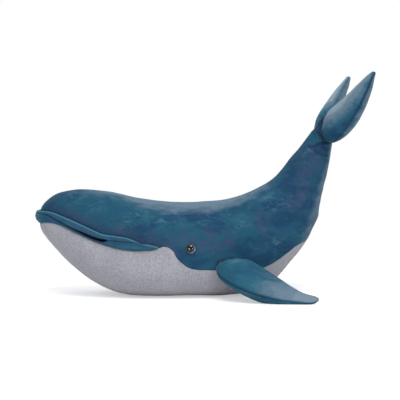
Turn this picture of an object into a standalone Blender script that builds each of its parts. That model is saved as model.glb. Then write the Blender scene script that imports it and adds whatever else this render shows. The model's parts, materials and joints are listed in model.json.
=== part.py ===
"""A plush whale, built the way a soft toy is: sewn panels over stuffing, padded lips, safety eyes,
a bag of pellets in the belly, a tail that bends, and stuffed flukes and flippers that fold at their seams.

The nose points to -X, the whale's left side to -Y and its back to +Z. The belly rests on z = 0.
Places on the body are given by a station, counted from the nose back, and a turn, which is the angle
round the section: 0 on the back, pi on the belly, between them the left side, and negative on the right."""
import math
from dataclasses import dataclass

import bmesh
import bpy
from mathutils import Matrix, Vector

MM = 0.001
UP = Vector((0.0, 0.0, 1.0))

# Body
BODY_LENGTH = 430 * MM
BODY_RISE = 260 * MM
BODY_WIDTH = 152 * MM
SKIN = 3.0 * MM
SEAM_GAP = 0.3 * MM
STUFFING_GAP = 2.0 * MM
BODY_STEPS_ROUND = 16
UPPER_POWER_SHARE = 2.1

# Each station: top x, top z, bottom x, bottom z, half width, and how square the lower half is.
# x is a share of the body's length from the nose, z of its rise, the width of half its width.
STATION_SHARES = (
    (0.008, 0.450, 0.008, 0.450, 0.00, 2.0),
    (0.026, 0.507, 0.012, 0.400, 0.30, 2.0),
    (0.058, 0.548, 0.021, 0.350, 0.45, 2.0),
    (0.111, 0.581, 0.057, 0.272, 0.59, 2.0),
    (0.177, 0.585, 0.116, 0.168, 0.72, 2.1),
    (0.250, 0.571, 0.189, 0.075, 0.82, 2.3),
    (0.331, 0.541, 0.276, 0.012, 0.91, 2.7),
    (0.421, 0.518, 0.384, -0.002, 0.97, 3.0),
    (0.507, 0.511, 0.506, -0.002, 1.00, 3.0),
    (0.570, 0.514, 0.633, -0.002, 0.98, 3.0),
    (0.621, 0.522, 0.759, 0.031, 0.93, 2.6),
    (0.683, 0.546, 0.855, 0.178, 0.83, 2.2),
    (0.744, 0.587, 0.913, 0.304, 0.71, 2.1),
    (0.792, 0.635, 0.944, 0.422, 0.60, 2.0),
    (0.830, 0.693, 0.963, 0.552, 0.49, 2.0),
    (0.860, 0.760, 0.981, 0.681, 0.39, 2.0),
    (0.888, 0.817, 0.991, 0.771, 0.30, 2.0),
    (0.921, 0.888, 0.998, 0.852, 0.21, 2.0),
    (0.948, 0.936, 0.996, 0.907, 0.11, 2.0),
    (0.965, 0.980, 1.000, 0.959, 0.10, 2.0),
    (0.983, 1.004, 0.996, 0.996, 0.05, 2.0),
)

# Tail knuckle: a round end of the tail in a round hollow of the trunk, about the bending axis
TAIL_STATION_SHARE = 13.0
KNUCKLE_SHARE = 1.1
TAIL_STATION_SHARES = (10.4, 11.3, 12.2, 13.0, 13.8, 14.6, 15.4, 16.2, 16.9, 17.5, 18.0, 19.0, 20.0)
LAST_TRUNK_STATION_SHARE = 13.4

# Lips, and the seams round them, as (station, turn as a share of half a turn)
LIP_BULGE = 4.5 * MM
LIP_COVER = 2.0 * MM
UPPER_LIP_SEAM_SHARES = ((0.42, 0.000), (0.8, 0.250), (1.2, 0.360), (1.8, 0.425), (2.4, 0.447),
                         (3.0, 0.460), (3.8, 0.461), (4.9, 0.468), (5.35, 0.452), (5.9, 0.443),
                         (6.2, 0.451))
MOUTH_SHARES = ((0.0, 0.500), (1.0, 0.490), (2.1, 0.494), (2.6, 0.515), (3.15, 0.525), (3.7, 0.520),
                (4.5, 0.514), (4.9, 0.508), (5.35, 0.486), (5.7, 0.472), (6.1, 0.460), (6.5, 0.457),
                (6.97, 0.469))
LOWER_LIP_SEAM_SHARES = ((0.85, 1.000), (1.1, 0.840), (1.5, 0.720), (2.0, 0.635), (2.5, 0.580),
                         (3.0, 0.569), (3.9, 0.550), (4.8, 0.538), (5.15, 0.526), (5.9, 0.505),
                         (6.5, 0.499), (6.75, 0.492), (6.9, 0.478), (6.97, 0.470))
BELLY_SEAM_SHARES = ((6.97, 0.470), (7.05, 0.464), (7.23, 0.464), (7.4, 0.499), (7.6, 0.524),
                     (7.85, 0.556), (8.1, 0.570), (8.6, 0.570), (9.2, 0.576), (9.8, 0.604),
                     (10.4, 0.664), (11.0, 0.720), (11.3, 0.740), (11.6, 0.780), (11.9, 0.900),
                     (12.1, 1.000))
# Stations of the mouth line, the upper seam and the lower seam that each row across the lips joins
LIP_ROW_SHARES = ((0.2, 0.5, 0.9), (0.6, 0.8, 1.1), (1.1, 1.2, 1.5), (1.7, 1.8, 1.9), (2.4, 2.4, 2.4),
            (3.1, 3.1, 3.1), (3.9, 3.9, 3.9), (4.6, 4.6, 4.6), (5.1, 5.1, 5.1), (5.5, 5.5, 5.5),
            (6.1, 6.1, 6.1), (6.5, 6.5, 6.5), (6.92, 6.92, 6.92))
UPPER_LIP_ROW_COUNT = 11
LIP_STEPS = 4
LIP_FRONT_SHARE = 0.55
BELLY_STATION_SHARES = (6.97, 7.1, 7.25, 7.4, 7.6, 7.85, 8.1, 8.6, 9.2, 9.8, 10.4, 11.0, 11.5, 11.9,
                  12.06)
REAR_SIDE_STATION_SHARES = (12.12, 12.8, LAST_TRUNK_STATION_SHARE)
SIDE_STEPS = 7
BELLY_ROW_SHARES = (0.0, 0.22, 0.44, 0.64, 0.84, 1.0)
# The stuffing of the head ends, and that of the body starts, a little in front of the eyes
HEAD_STATION_SHARES = (0.4, 1.0, 1.8, 2.7, 3.7, 4.8, 6.0, 6.9, 7.6)
BODY_STATION_SHARES = (8.4, 9.4, 10.2, 10.9, 11.6, 12.4, LAST_TRUNK_STATION_SHARE)

# Bag of pellets that steadies the belly
PELLET_BAG_LENGTH = 80 * MM
PELLET_BAG_WIDTH = 84 * MM
PELLET_BAG_HEIGHT = 50 * MM
PELLET_BAG_STATION_SHARE = 8.7

# Safety eyes
EYE_STATION_SHARE = 7.93
EYE_TURN_SHARE = 0.477
EYE_DIAMETER = 14 * MM
EYE_DOME = 3.6 * MM
EYE_BACK = 1.4 * MM
EYE_SEAT_DEPTH = 1.0 * MM
SHANK_DIAMETER = 5 * MM
SHANK_LENGTH = 12 * MM
WASHER_DIAMETER = 16 * MM
WASHER_THICKNESS = 1.5 * MM
WASHER_SAG = 1.2 * MM
EYE_STEPS = 16

# Flippers: rows are front x, front span, rear x, rear span and thickness, as shares of the sizes here
FLIPPER_STATION_SHARE = 9.2
FLIPPER_TURN_SHARE = 0.545
FLIPPER_LENGTH = 120 * MM
FLIPPER_SPAN = 78 * MM
FLIPPER_THICKNESS = 26 * MM
FLIPPER_ROOT_SHARES = (-0.15, 0.17)
FLIPPER_ROW_SHARES = (
    (-0.200, 0.10, 0.210, 0.05, 0.66),
    (-0.170, 0.30, 0.290, 0.13, 0.94),
    (-0.030, 0.55, 0.390, 0.23, 1.00),
    (0.180, 0.79, 0.505, 0.40, 0.90),
    (0.410, 0.95, 0.615, 0.61, 0.70),
    (0.640, 1.02, 0.745, 0.80, 0.50),
    (0.815, 1.02, 0.860, 0.90, 0.32),
    (0.915, 0.98, 0.935, 0.94, 0.00),
)
FAR_FLIPPER_LIFT_DEG = 16

# Flukes, with rows as for the flippers; x runs along the tail and the span runs out to the side
FLUKE_STATION_SHARE = 17.5
FLUKE_SWEEP = 99 * MM
FLUKE_SPAN = 72 * MM
FLUKE_THICKNESS = 37 * MM
FLUKE_FOLD_DEG = 19
FLUKE_ROOT_SHARES = (0.03, 0.27)
FLUKE_ROW_SHARES = (
    (-0.030, 0.08, 0.330, 0.06, 0.50),
    (-0.120, 0.29, 0.430, 0.20, 0.92),
    (-0.080, 0.51, 0.550, 0.36, 1.00),
    (0.090, 0.73, 0.690, 0.53, 0.92),
    (0.350, 0.90, 0.830, 0.70, 0.76),
    (0.670, 1.00, 0.940, 0.86, 0.52),
    (0.985, 1.01, 1.000, 0.985, 0.00),
)

# What both kinds of limb share
LIMB_SKIN = 2.2 * MM
ROOT_RADIUS = 4.0 * MM
ROOT_SEAT_SHARE = 0.75
ROOT_STEPS = 2
LIMB_STEPS_ACROSS = 6
GROOVE_STEPS = 20
CUT_OVERRUN = 20 * MM

PROBE_SHARE = 0.02
SMALLEST_SHARE = 0.25


def spline(rows, place):
    """The values at a place counted in rows, on a smooth curve through rows of numbers."""
    last = len(rows) - 1
    row = min(max(math.floor(place), 0), last - 1)
    t = place - row
    four = [rows[min(max(row + k, 0), last)] for k in (-1, 0, 1, 2)]
    return [0.5 * (2 * b + (c - a) * t + (2 * a - 5 * b + 4 * c - d) * t ** 2
                   + (3 * b - a - 3 * c + d) * t ** 3) for a, b, c, d in zip(*four)]


def read_table(rows, place):
    """The value at a place in a table of (place, value)."""
    row = max(i for i in range(len(rows) - 1) if i == 0 or rows[i][0] <= place)
    (start, low), (end, high) = rows[row], rows[row + 1]
    return low + (high - low) * (place - start) / (end - start)


def station(place):
    """Top, bottom, half width and lower power of the body's section at a station."""
    second = STATION_SHARES[1]
    before_nose = (second[2], second[3], second[0], second[1], -second[4], second[5])
    top_x, top_z, bottom_x, bottom_z, wide, power = spline((before_nose,) + STATION_SHARES, place + 1)
    top = Vector((top_x * BODY_LENGTH, 0.0, top_z * BODY_RISE))
    bottom = Vector((bottom_x * BODY_LENGTH, 0.0, bottom_z * BODY_RISE))
    return top, bottom, wide * BODY_WIDTH / 2, power


def section_centre(place):
    """The middle of the section at a station."""
    top, bottom, _, _ = station(place)
    return (top + bottom) / 2


def on_body(place, turn):
    """The point of the body's outer skin at a station and a turn."""
    top, bottom, half, lower_power = station(place)
    c, s = math.cos(turn), math.sin(turn)
    power = UPPER_POWER_SHARE if c > 0 else lower_power
    up = math.copysign(abs(c) ** (2 / power), c)
    side = math.copysign(abs(s) ** (2 / power), s)
    return (top + bottom) / 2 + (top - bottom) / 2 * up - Vector((0.0, half * side, 0.0))


def body_normal(place, turn):
    """The outward direction of the body's skin at a station and a turn."""
    if place < PROBE_SHARE:
        return Vector((-1.0, 0.0, 0.0))
    along = on_body(place + PROBE_SHARE, turn) - on_body(place - PROBE_SHARE, turn)
    around = on_body(place, turn + PROBE_SHARE) - on_body(place, turn - PROBE_SHARE)
    normal = along.cross(around).normalized()
    outward = on_body(place, turn) - section_centre(place)
    return normal if normal.dot(outward) > 0 else -normal


def skin_point(place, turn, lift):
    """A point off the body's skin by a lift along its normal; the outer skin stays above the floor."""
    point = on_body(place, turn) + body_normal(place, turn) * lift
    if lift >= 0:
        point.z = max(point.z, 0.0)
    return point


def step_round(place, turn, distance):
    """The turn that lies a small distance further round the section."""
    probe = math.copysign(PROBE_SHARE, distance)
    stride = (on_body(place, turn + probe) - on_body(place, turn)).length
    return turn + probe * abs(distance) / stride


def step_along(place, distance):
    """The station that lies a small distance further back."""
    stride = (section_centre(place + PROBE_SHARE) - section_centre(place)).length
    return place + PROBE_SHARE * distance / stride


def seam(rows, place):
    """The turn of a seam at a station."""
    return math.pi * read_table(rows, place)


def side_seam(place):
    """The turn of the lower edge of a side panel at a station."""
    if place <= LIP_ROW_SHARES[UPPER_LIP_ROW_COUNT - 1][1]:
        return seam(UPPER_LIP_SEAM_SHARES, place)
    if place <= BELLY_STATION_SHARES[0]:
        return seam(MOUTH_SHARES, place)
    return seam(BELLY_SEAM_SHARES, min(place, BELLY_SEAM_SHARES[-1][0]))


def make_material(name, color, roughness, metallic=0.0):
    """A plain Principled material."""
    material = bpy.data.materials.new(name)
    material.use_nodes = True
    shader = material.node_tree.nodes["Principled BSDF"]
    shader.inputs["Base Color"].default_value = (*color, 1.0)
    shader.inputs["Roughness"].default_value = roughness
    shader.inputs["Metallic"].default_value = metallic
    material.diffuse_color = (*color, 1.0)
    return material


def make_object(name, bm, material, pivot):
    """A solid from a closed mesh in the whale's own place, with its origin at its pivot."""
    bmesh.ops.remove_doubles(bm, verts=bm.verts, dist=0.001 * MM)
    bmesh.ops.triangulate(bm, faces=bm.faces)
    bmesh.ops.recalc_face_normals(bm, faces=bm.faces)
    if bm.calc_volume(signed=True) < 0:
        bmesh.ops.reverse_faces(bm, faces=bm.faces)
    bmesh.ops.translate(bm, verts=bm.verts, vec=-pivot_place(pivot))
    mesh = bpy.data.meshes.new(name)
    bm.to_mesh(mesh)
    bm.free()
    mesh.shade_smooth()
    mesh.set_sharp_from_angle(angle=math.radians(50))
    if material is not None:
        mesh.materials.append(material)
    piece = bpy.data.objects.new(name, mesh)
    piece.parent = pivot
    bpy.context.scene.collection.objects.link(piece)
    return piece


def make_pivot(name, place, parent=None):
    """An empty on a joint's axis; its place is given in the whale's own frame."""
    pivot = bpy.data.objects.new(name, None)
    pivot.parent = parent
    pivot.location = place - pivot_place(parent)
    bpy.context.scene.collection.objects.link(pivot)
    return pivot


def pivot_place(pivot):
    """Where a pivot lies in the whale's own frame, before the whale is centred."""
    place = Vector()
    while pivot is not None:
        place += pivot.location
        pivot = pivot.parent
    return place


def make_cutter(name, bm, pivot):
    """A hidden solid that others are cut with."""
    cutter = make_object(name, bm, None, pivot)
    cutter.hide_render = True
    cutter.display_type = "WIRE"
    return cutter


def cut(piece, cutter, operation="DIFFERENCE"):
    """Cut a piece with a cutter, or keep what lies in it."""
    boolean = piece.modifiers.new(cutter.name, "BOOLEAN")
    boolean.operation = operation
    boolean.object = cutter
    boolean.solver = "EXACT"


def add_grid(bm, rows, closed=False):
    """Faces over rows of points; returns the rows of vertices."""
    verts = [[bm.verts.new(point) for point in row] for row in rows]
    for near, far in zip(verts, verts[1:]):
        count = len(near)
        for j in range(count if closed else count - 1):
            k = (j + 1) % count
            bm.faces.new((near[j], near[k], far[k], far[j]))
    return verts


def add_shell(bm, outer_rows, inner_rows):
    """A closed shell between two grids of points with open edges."""
    outer = add_grid(bm, outer_rows)
    inner = add_grid(bm, inner_rows)
    rims = [(outer[0], inner[0]), (outer[-1], inner[-1])]
    for j in (0, -1):
        rims.append(([row[j] for row in outer], [row[j] for row in inner]))
    for outer_edge, inner_edge in rims:
        for a, b, c, d in zip(outer_edge, outer_edge[1:], inner_edge[1:], inner_edge):
            bm.faces.new((a, b, c, d))


def body_sheet(name, rows, outer_lift, inner_lift, material, pivot):
    """A sheet of fabric on the body from rows of (station, turn), with lifts given for row and step."""
    bm = bmesh.new()
    faces = []
    for lift in (outer_lift, inner_lift):
        faces.append([[skin_point(*spot, lift(i, j)) for j, spot in enumerate(row)]
                      for i, row in enumerate(rows)])
    add_shell(bm, *faces)
    return make_object(name, bm, material, pivot)


def thin_skin(place):
    """The skin's thickness at a station, thinner where the section is too narrow to hold it."""
    return min(SKIN, station(place)[2] / 2)


def panel_between(name, stations, first_turn, last_turn, turn_shares, material, pivot):
    """A body panel between two turns that are functions of the station."""
    rows = []
    for place in stations:
        start, end = first_turn(place), last_turn(place)
        rows.append([(place, start + (end - start) * share) for share in turn_shares])
    return body_sheet(name, rows, lambda i, j: 0.0, lambda i, j: -thin_skin(stations[i]), material, pivot)


def add_side_panels(material, trunk, knuckle, eye_cutters, grooves):
    """The two upper panels, from the lip seam to the tail, cut for the eyes, the flippers and the tail."""
    lip_stations = [row[1] for row in LIP_ROW_SHARES]
    stations = lip_stations + list(BELLY_STATION_SHARES) + list(REAR_SIDE_STATION_SHARES)
    shares = [j / SIDE_STEPS for j in range(SIDE_STEPS + 1)]
    for hand, name in ((1, "side_panel_left"), (-1, "side_panel_right")):
        panel = panel_between(
            name, stations,
            lambda place, hand=hand: hand * step_round(place, 0.0, SEAM_GAP / 2),
            lambda place, hand=hand: hand * step_round(place, side_seam(place), -SEAM_GAP / 2),
            shares, material, trunk)
        cut(panel, eye_cutters[hand])
        cut(panel, grooves[hand])
        cut(panel, knuckle)


def add_belly_panel(material, trunk):
    """The grey panel under throat and belly, from the lower lip to a point under the tail."""
    lip_stations = [row[2] for row in LIP_ROW_SHARES]
    stations = lip_stations + list(BELLY_STATION_SHARES)

    def edge(place):
        rows = LOWER_LIP_SEAM_SHARES if place < BELLY_STATION_SHARES[0] else BELLY_SEAM_SHARES
        return step_round(place, seam(rows, place), SEAM_GAP / 2)

    shares = [share / 2 for share in BELLY_ROW_SHARES]
    shares += [1 - share for share in reversed(shares[:-1])]
    return panel_between("belly_panel", stations, edge, lambda place: 2 * math.pi - edge(place),
                         shares, material, trunk)


def lip_rows(seam_shares, seam_column, row_count, toward_back):
    """Rows of (station, turn) across a lip, from the left corner round the nose to the right corner.

    Near the nose the rows cross the pole of the stations, so they run straight on a disc round it."""
    def row(mouth_place, seam_place):
        seam_gap = SEAM_GAP / 2 if toward_back else -SEAM_GAP / 2
        mouth_turn = step_round(max(mouth_place, PROBE_SHARE), seam(MOUTH_SHARES, mouth_place), -seam_gap)
        seam_turn = step_round(seam_place, seam(seam_shares, seam_place), seam_gap)
        ends = [(place * math.cos(turn), place * math.sin(turn))
                for place, turn in ((mouth_place, mouth_turn), (seam_place, seam_turn))]
        spots = []
        for j in range(LIP_STEPS + 1):
            t = j / LIP_STEPS
            x, y = (a + (b - a) * t for a, b in zip(*ends))
            spots.append((math.hypot(x, y), math.atan2(y, x)))
        return spots

    left = [row(spots[0], spots[seam_column]) for spots in reversed(LIP_ROW_SHARES[:row_count])]
    right = [[(place, -turn) for place, turn in spots] for spots in reversed(left)]
    front_seam_place = seam_shares[0][0]
    sign = 1 if toward_back else -1
    front = []
    for j in range(LIP_STEPS + 1):
        t = j / LIP_STEPS
        place = PROBE_SHARE + (front_seam_place - 2 * PROBE_SHARE) * t
        front.append((place, 0.0 if sign > 0 else math.pi))
    return left + [front] + right


def add_lip(name, rows, material, filling_material, trunk):
    """A padded lip: a fabric cover over a roll of filling."""
    last = len(rows) - 1

    def roll(i, j):
        across = math.sin(math.pi * j / LIP_STEPS) ** 0.7
        toward_corner = min(1.0, SMALLEST_SHARE + min(i, last - i) / 3)
        toward_front = LIP_FRONT_SHARE + (1 - LIP_FRONT_SHARE) * min(1.0, abs(2 * i - last) / 8)
        return LIP_BULGE * across * toward_corner * toward_front

    body_sheet(name, rows, roll, lambda i, j: roll(i, j) - LIP_COVER, material, trunk)
    inner_rows = [row[1:-1] for row in rows[1:-1]]
    body_sheet(name + "_filling", inner_rows,
               lambda i, j: roll(i + 1, j + 1) - LIP_COVER - SEAM_GAP,
               lambda i, j: -SKIN, filling_material, trunk)


def add_core(name, stations, steps, lift, material, pivot, nose):
    """Stuffing inside the skin, closed by a point at the nose or by a flat end."""
    bm = bmesh.new()
    rings = [[skin_point(place, 2 * math.pi * j / steps, lift(place)) for j in range(steps)]
             for place in stations]
    verts = add_grid(bm, rings, closed=True)
    bm.faces.new(verts[-1])
    if nose:
        tip = bm.verts.new(skin_point(0.0, 0.0, lift(0.0)))
        for j in range(steps):
            bm.faces.new((verts[0][j], verts[0][(j + 1) % steps], tip))
    else:
        bm.faces.new(verts[0])
    return make_object(name, bm, material, pivot)


def knuckle_prism(name, radius, pivot):
    """The region behind the tail's bending axis, with a round front of a given radius about the axis."""
    centre = section_centre(TAIL_STATION_SHARE)
    back = (section_centre(TAIL_STATION_SHARE + 1) - centre).normalized()
    back = (back + (centre - section_centre(TAIL_STATION_SHARE - 1)).normalized()).normalized()
    dorsal = Vector((-back.z, 0.0, back.x))
    reach = BODY_RISE
    outline = [centre + (dorsal * math.cos(angle) - back * math.sin(angle)) * radius
               for angle in [math.pi * k / GROOVE_STEPS for k in range(GROOVE_STEPS + 1)]]
    outline += [centre - dorsal * radius + back * reach, centre + dorsal * radius + back * reach]
    half = BODY_WIDTH
    bm = bmesh.new()
    near = [bm.verts.new(point - Vector((0.0, half, 0.0))) for point in outline]
    far = [bm.verts.new(point + Vector((0.0, half, 0.0))) for point in outline]
    bm.faces.new(near)
    bm.faces.new(far)
    for j in range(len(outline)):
        k = (j + 1) % len(outline)
        bm.faces.new((near[j], near[k], far[k], far[j]))
    return make_cutter(name, bm, pivot)


def knuckle_radius():
    """The radius of the hollow that the tail's round end turns in."""
    top, bottom, _, _ = station(TAIL_STATION_SHARE)
    return KNUCKLE_SHARE * (top - bottom).length / 2


def add_turned(bm, profile, frame, steps):
    """A solid of revolution from (radius, height) points, placed by a frame whose z is its axis."""
    rings = []
    for radius, height in profile:
        if radius == 0:
            rings.append([bm.verts.new(frame @ Vector((0.0, 0.0, height)))])
            continue
        rings.append([bm.verts.new(frame @ Vector((radius * math.cos(2 * math.pi * j / steps),
                                                   radius * math.sin(2 * math.pi * j / steps),
                                                   height))) for j in range(steps)])
    pairs = list(zip(rings, rings[1:]))
    if len(rings[0]) > 1:
        pairs.append((rings[-1], rings[0]))
    for near, far in pairs:
        for j in range(steps):
            k = (j + 1) % steps
            corners = [near[j % len(near)], near[k % len(near)], far[k % len(far)], far[j % len(far)]]
            corners = list(dict.fromkeys(corners))
            bm.faces.new(corners)


def eye_frame(hand):
    """The frame of an eye: its z is the outward direction of the skin there."""
    turn = hand * math.pi * EYE_TURN_SHARE
    outward = body_normal(EYE_STATION_SHARE, turn)
    frame = outward.to_track_quat("Z", "Y").to_matrix().to_4x4()
    return Matrix.Translation(on_body(EYE_STATION_SHARE, turn)) @ frame


def washer_top():
    """How deep the washer's top lies, under the sagging inner side of the skin."""
    return -(SKIN + SEAM_GAP + WASHER_SAG)


def eye_cutter(hand, trunk):
    """The seat of an eye in the skin, the hole of its shank, and the room for its washer."""
    radius = EYE_DIAMETER / 2 + SEAM_GAP
    hole = SHANK_DIAMETER / 2 + SEAM_GAP
    washer = WASHER_DIAMETER / 2 + SEAM_GAP
    skin_cut = [(0, EYE_DOME), (radius, EYE_DOME), (radius, -EYE_SEAT_DEPTH), (hole, -EYE_SEAT_DEPTH),
                (hole, -SHANK_LENGTH), (0, -SHANK_LENGTH)]
    washer_end = washer_top() - WASHER_THICKNESS - SEAM_GAP
    core_cut = [(0, EYE_DOME), (washer, EYE_DOME), (washer, washer_end), (hole, washer_end),
                (hole, -SHANK_LENGTH - SEAM_GAP), (0, -SHANK_LENGTH - SEAM_GAP)]
    cutters = []
    for name, profile in (("skin", skin_cut), ("stuffing", core_cut)):
        bm = bmesh.new()
        add_turned(bm, profile, eye_frame(hand), EYE_STEPS)
        cutters.append(make_cutter("eye_%s_cutter_%+d" % (name, hand), bm, trunk))
    return cutters


def add_eye(side, hand, materials, trunk):
    """A safety eye: a clear dome on a black back with a shank, held by a washer inside the skin."""
    frame = eye_frame(hand)
    radius = EYE_DIAMETER / 2
    shank = SHANK_DIAMETER / 2
    floor = SEAM_GAP - EYE_SEAT_DEPTH
    back = floor + EYE_BACK
    back_profile = [(0, back), (radius, back), (radius, floor), (shank, floor), (shank, -SHANK_LENGTH),
                    (0, -SHANK_LENGTH)]
    dome_steps = 5
    dome_base = back + SEAM_GAP
    dome = [(0, dome_base)]
    for k in range(dome_steps + 1):
        angle = math.pi / 2 * k / dome_steps
        reach = radius * math.cos(angle) if k < dome_steps else 0
        dome.append((reach, dome_base + EYE_DOME * math.sin(angle)))
    ring = WASHER_DIAMETER / 2
    top = washer_top()
    washer = [(shank + SEAM_GAP, top), (ring, top), (ring, top - WASHER_THICKNESS),
              (shank + SEAM_GAP, top - WASHER_THICKNESS)]
    for piece, profile in (("back", back_profile), ("dome", dome), ("washer", washer)):
        bm = bmesh.new()
        add_turned(bm, profile, frame, EYE_STEPS)
        make_object("eye_%s_%s" % (side, piece), bm, materials[piece], trunk)


def add_pellet_bag(material, trunk, core):
    """A bag of pellets low in the belly, in a pocket of the stuffing that is open below."""
    half = Vector((PELLET_BAG_LENGTH, PELLET_BAG_WIDTH, PELLET_BAG_HEIGHT)) / 2
    middle = Vector((section_centre(PELLET_BAG_STATION_SHARE).x, 0.0, half.z))
    floor = SKIN + SEAM_GAP
    for name, grow in (("pellet_bag", 0.0), ("pellet_bag_cutter", SEAM_GAP)):
        bm = bmesh.new()
        bmesh.ops.create_uvsphere(bm, u_segments=20, v_segments=12, radius=1.0)
        for vert in bm.verts:
            vert.co = middle + Vector([co * (size + grow) for co, size in zip(vert.co, half)])
            if not grow:
                vert.co.z = max(vert.co.z, floor)
        if grow:
            cut(core, make_cutter(name, bm, trunk))
        else:
            make_object(name, bm, material, trunk)


@dataclass
class Limb:
    """A flat stuffed limb: its hinge line, its plane, its outline and its thickness."""
    origin: Vector
    along: Vector
    span: Vector
    normal: Vector
    length: float
    reach: float
    thickness: float
    root_shares: tuple
    row_shares: tuple

    def place(self, x, d, n):
        return self.origin + self.along * x + self.span * d + self.normal * n


def limb_rows(limb, inset):
    """Rows across a limb, root to tip: front and rear edge as (x, span) and half thickness."""
    rows = []
    radius = ROOT_RADIUS - inset
    for k in range(ROOT_STEPS + 1):
        angle = math.pi / 2 * k / ROOT_STEPS
        ends = [Vector((share * limb.length, -radius * math.cos(angle))) for share in limb.root_shares]
        rows.append((*ends, radius * math.sin(angle)))
    for front_x, front_d, rear_x, rear_d, thick in limb.row_shares:
        front = Vector((front_x * limb.length, front_d * limb.reach))
        rear = Vector((rear_x * limb.length, rear_d * limb.reach))
        half = thick * limb.thickness / 2
        rows.append((front, rear, max(half - inset, half * SMALLEST_SHARE)))
    if inset:
        rows = [pull_in(row, inset) for row in rows]
        rows[-1] = pull_back(rows[-1], rows[-2], inset)
    return rows


def pull_in(row, inset):
    """A row with both its ends moved inward."""
    front, rear, half = row
    share = min(inset / (rear - front).length, 0.5 - SMALLEST_SHARE)
    return front.lerp(rear, share), rear.lerp(front, share), half


def pull_back(row, before, inset):
    """The tip's row moved back towards the row before it."""
    middle = (row[0] + row[1]) / 2
    share = inset / (middle - (before[0] + before[1]) / 2).length
    return row[0].lerp(before[0], share), row[1].lerp(before[1], share), 0.0


def limb_face(limb, rows, direction, lift):
    """The points of one face of a limb: its upper face for a direction of 1, its lower for -1."""
    grid = []
    for front, rear, half in rows:
        points = []
        for j in range(LIMB_STEPS_ACROSS + 1):
            angle = math.pi * j / LIMB_STEPS_ACROSS
            spot = front.lerp(rear, (1 - math.cos(angle)) / 2)
            points.append(limb.place(*spot, direction * (lift + half * math.sin(angle))))
        grid.append(points)
    return grid


def add_limb(name, faces, limb, material, filling_material, pivot):
    """A limb's two panels, sewn along its outline, and the stuffing between them."""
    for face, direction in faces:
        bm = bmesh.new()
        outer = limb_face(limb, limb_rows(limb, 0.0), direction, SEAM_GAP / 2)
        inner = limb_face(limb, limb_rows(limb, LIMB_SKIN), direction, SEAM_GAP / 2)
        add_shell(bm, outer, inner)
        make_object("%s_%s_panel" % (name, face), bm, material, pivot)
    bm = bmesh.new()
    for _, direction in faces:
        add_grid(bm, limb_face(limb, limb_rows(limb, LIMB_SKIN + SEAM_GAP), direction, 0.0))
    make_object(name + "_stuffing", bm, filling_material, pivot)


def groove_cutter(name, limb, pivot):
    """The groove that the rounded root of a limb turns in."""
    start, end = (share * limb.length for share in limb.root_shares)
    frame = Matrix.Translation(limb.place(start - ROOT_RADIUS, 0.0, 0.0))
    frame = frame @ limb.along.to_track_quat("Z", "Y").to_matrix().to_4x4()
    radius = ROOT_RADIUS + SEAM_GAP
    length = end - start + 2 * ROOT_RADIUS
    bm = bmesh.new()
    add_turned(bm, [(0, 0.0), (radius, 0.0), (radius, length), (0, length)], frame, GROOVE_STEPS)
    return make_cutter(name, bm, pivot)


def hinge_standoff(skin):
    """How far a limb's hinge line lies outside the skin that its root is let into."""
    return ROOT_RADIUS + SEAM_GAP - ROOT_SEAT_SHARE * skin


def flipper_limb(hand):
    """A flipper that droops from its hinge: the left one rests on the floor, the right one stands off it."""
    turn = hand * math.pi * FLIPPER_TURN_SHARE
    outward = body_normal(FLIPPER_STATION_SHARE, turn)
    origin = on_body(FLIPPER_STATION_SHARE, turn) + outward * hinge_standoff(SKIN)
    behind = on_body(FLIPPER_STATION_SHARE + PROBE_SHARE, turn)
    along = behind - on_body(FLIPPER_STATION_SHARE - PROBE_SHARE, turn)
    along.z = 0.0
    along.normalize()
    out = UP.cross(along) * -hand

    def limb_at(droop):
        span = out * math.cos(droop) - UP * math.sin(droop)
        normal = out * math.sin(droop) + UP * math.cos(droop)
        return Limb(origin, along, span, normal, FLIPPER_LENGTH, FLIPPER_SPAN, FLIPPER_THICKNESS,
                    FLIPPER_ROOT_SHARES, FLIPPER_ROW_SHARES)

    def lowest(droop):
        limb = limb_at(droop)
        under_face = limb_face(limb, limb_rows(limb, 0.0), -1, SEAM_GAP / 2)
        return min(point.z for row in under_face for point in row)

    low, high = 0.0, math.pi / 2
    for _ in range(40):
        middle = (low + high) / 2
        low, high = (middle, high) if lowest(middle) > 0 else (low, middle)
    return limb_at(low if hand > 0 else low - math.radians(FAR_FLIPPER_LIFT_DEG))


def fluke_limb(hand):
    """A fluke in the plane of the tail's end, hinged beside it."""
    centre = section_centre(FLUKE_STATION_SHARE)
    along = (section_centre(FLUKE_STATION_SHARE + 1.5) - centre).normalized()
    half = station(FLUKE_STATION_SHARE + 1)[2]
    out = Vector((0.0, -hand, 0.0))
    dorsal = Vector((-along.z, 0.0, along.x))
    origin = centre + out * (half + hinge_standoff(thin_skin(FLUKE_STATION_SHARE + 1)))
    fold = math.radians(FLUKE_FOLD_DEG)
    span = out * math.cos(fold) - dorsal * math.sin(fold)
    normal = dorsal * math.cos(fold) + out * math.sin(fold)
    return Limb(origin, along, span, normal, FLUKE_SWEEP, FLUKE_SPAN, FLUKE_THICKNESS,
                FLUKE_ROOT_SHARES, FLUKE_ROW_SHARES)


def centre_whale(root):
    """Move the whale so that the middle of its length lies on x = 0."""
    reach = []
    for piece in bpy.data.objects:
        if piece.type == "MESH" and not piece.hide_render:
            offset = pivot_place(piece.parent).x
            reach += [vert.co.x + offset for vert in piece.data.vertices]
    root.location.x = -(min(reach) + max(reach)) / 2


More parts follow.
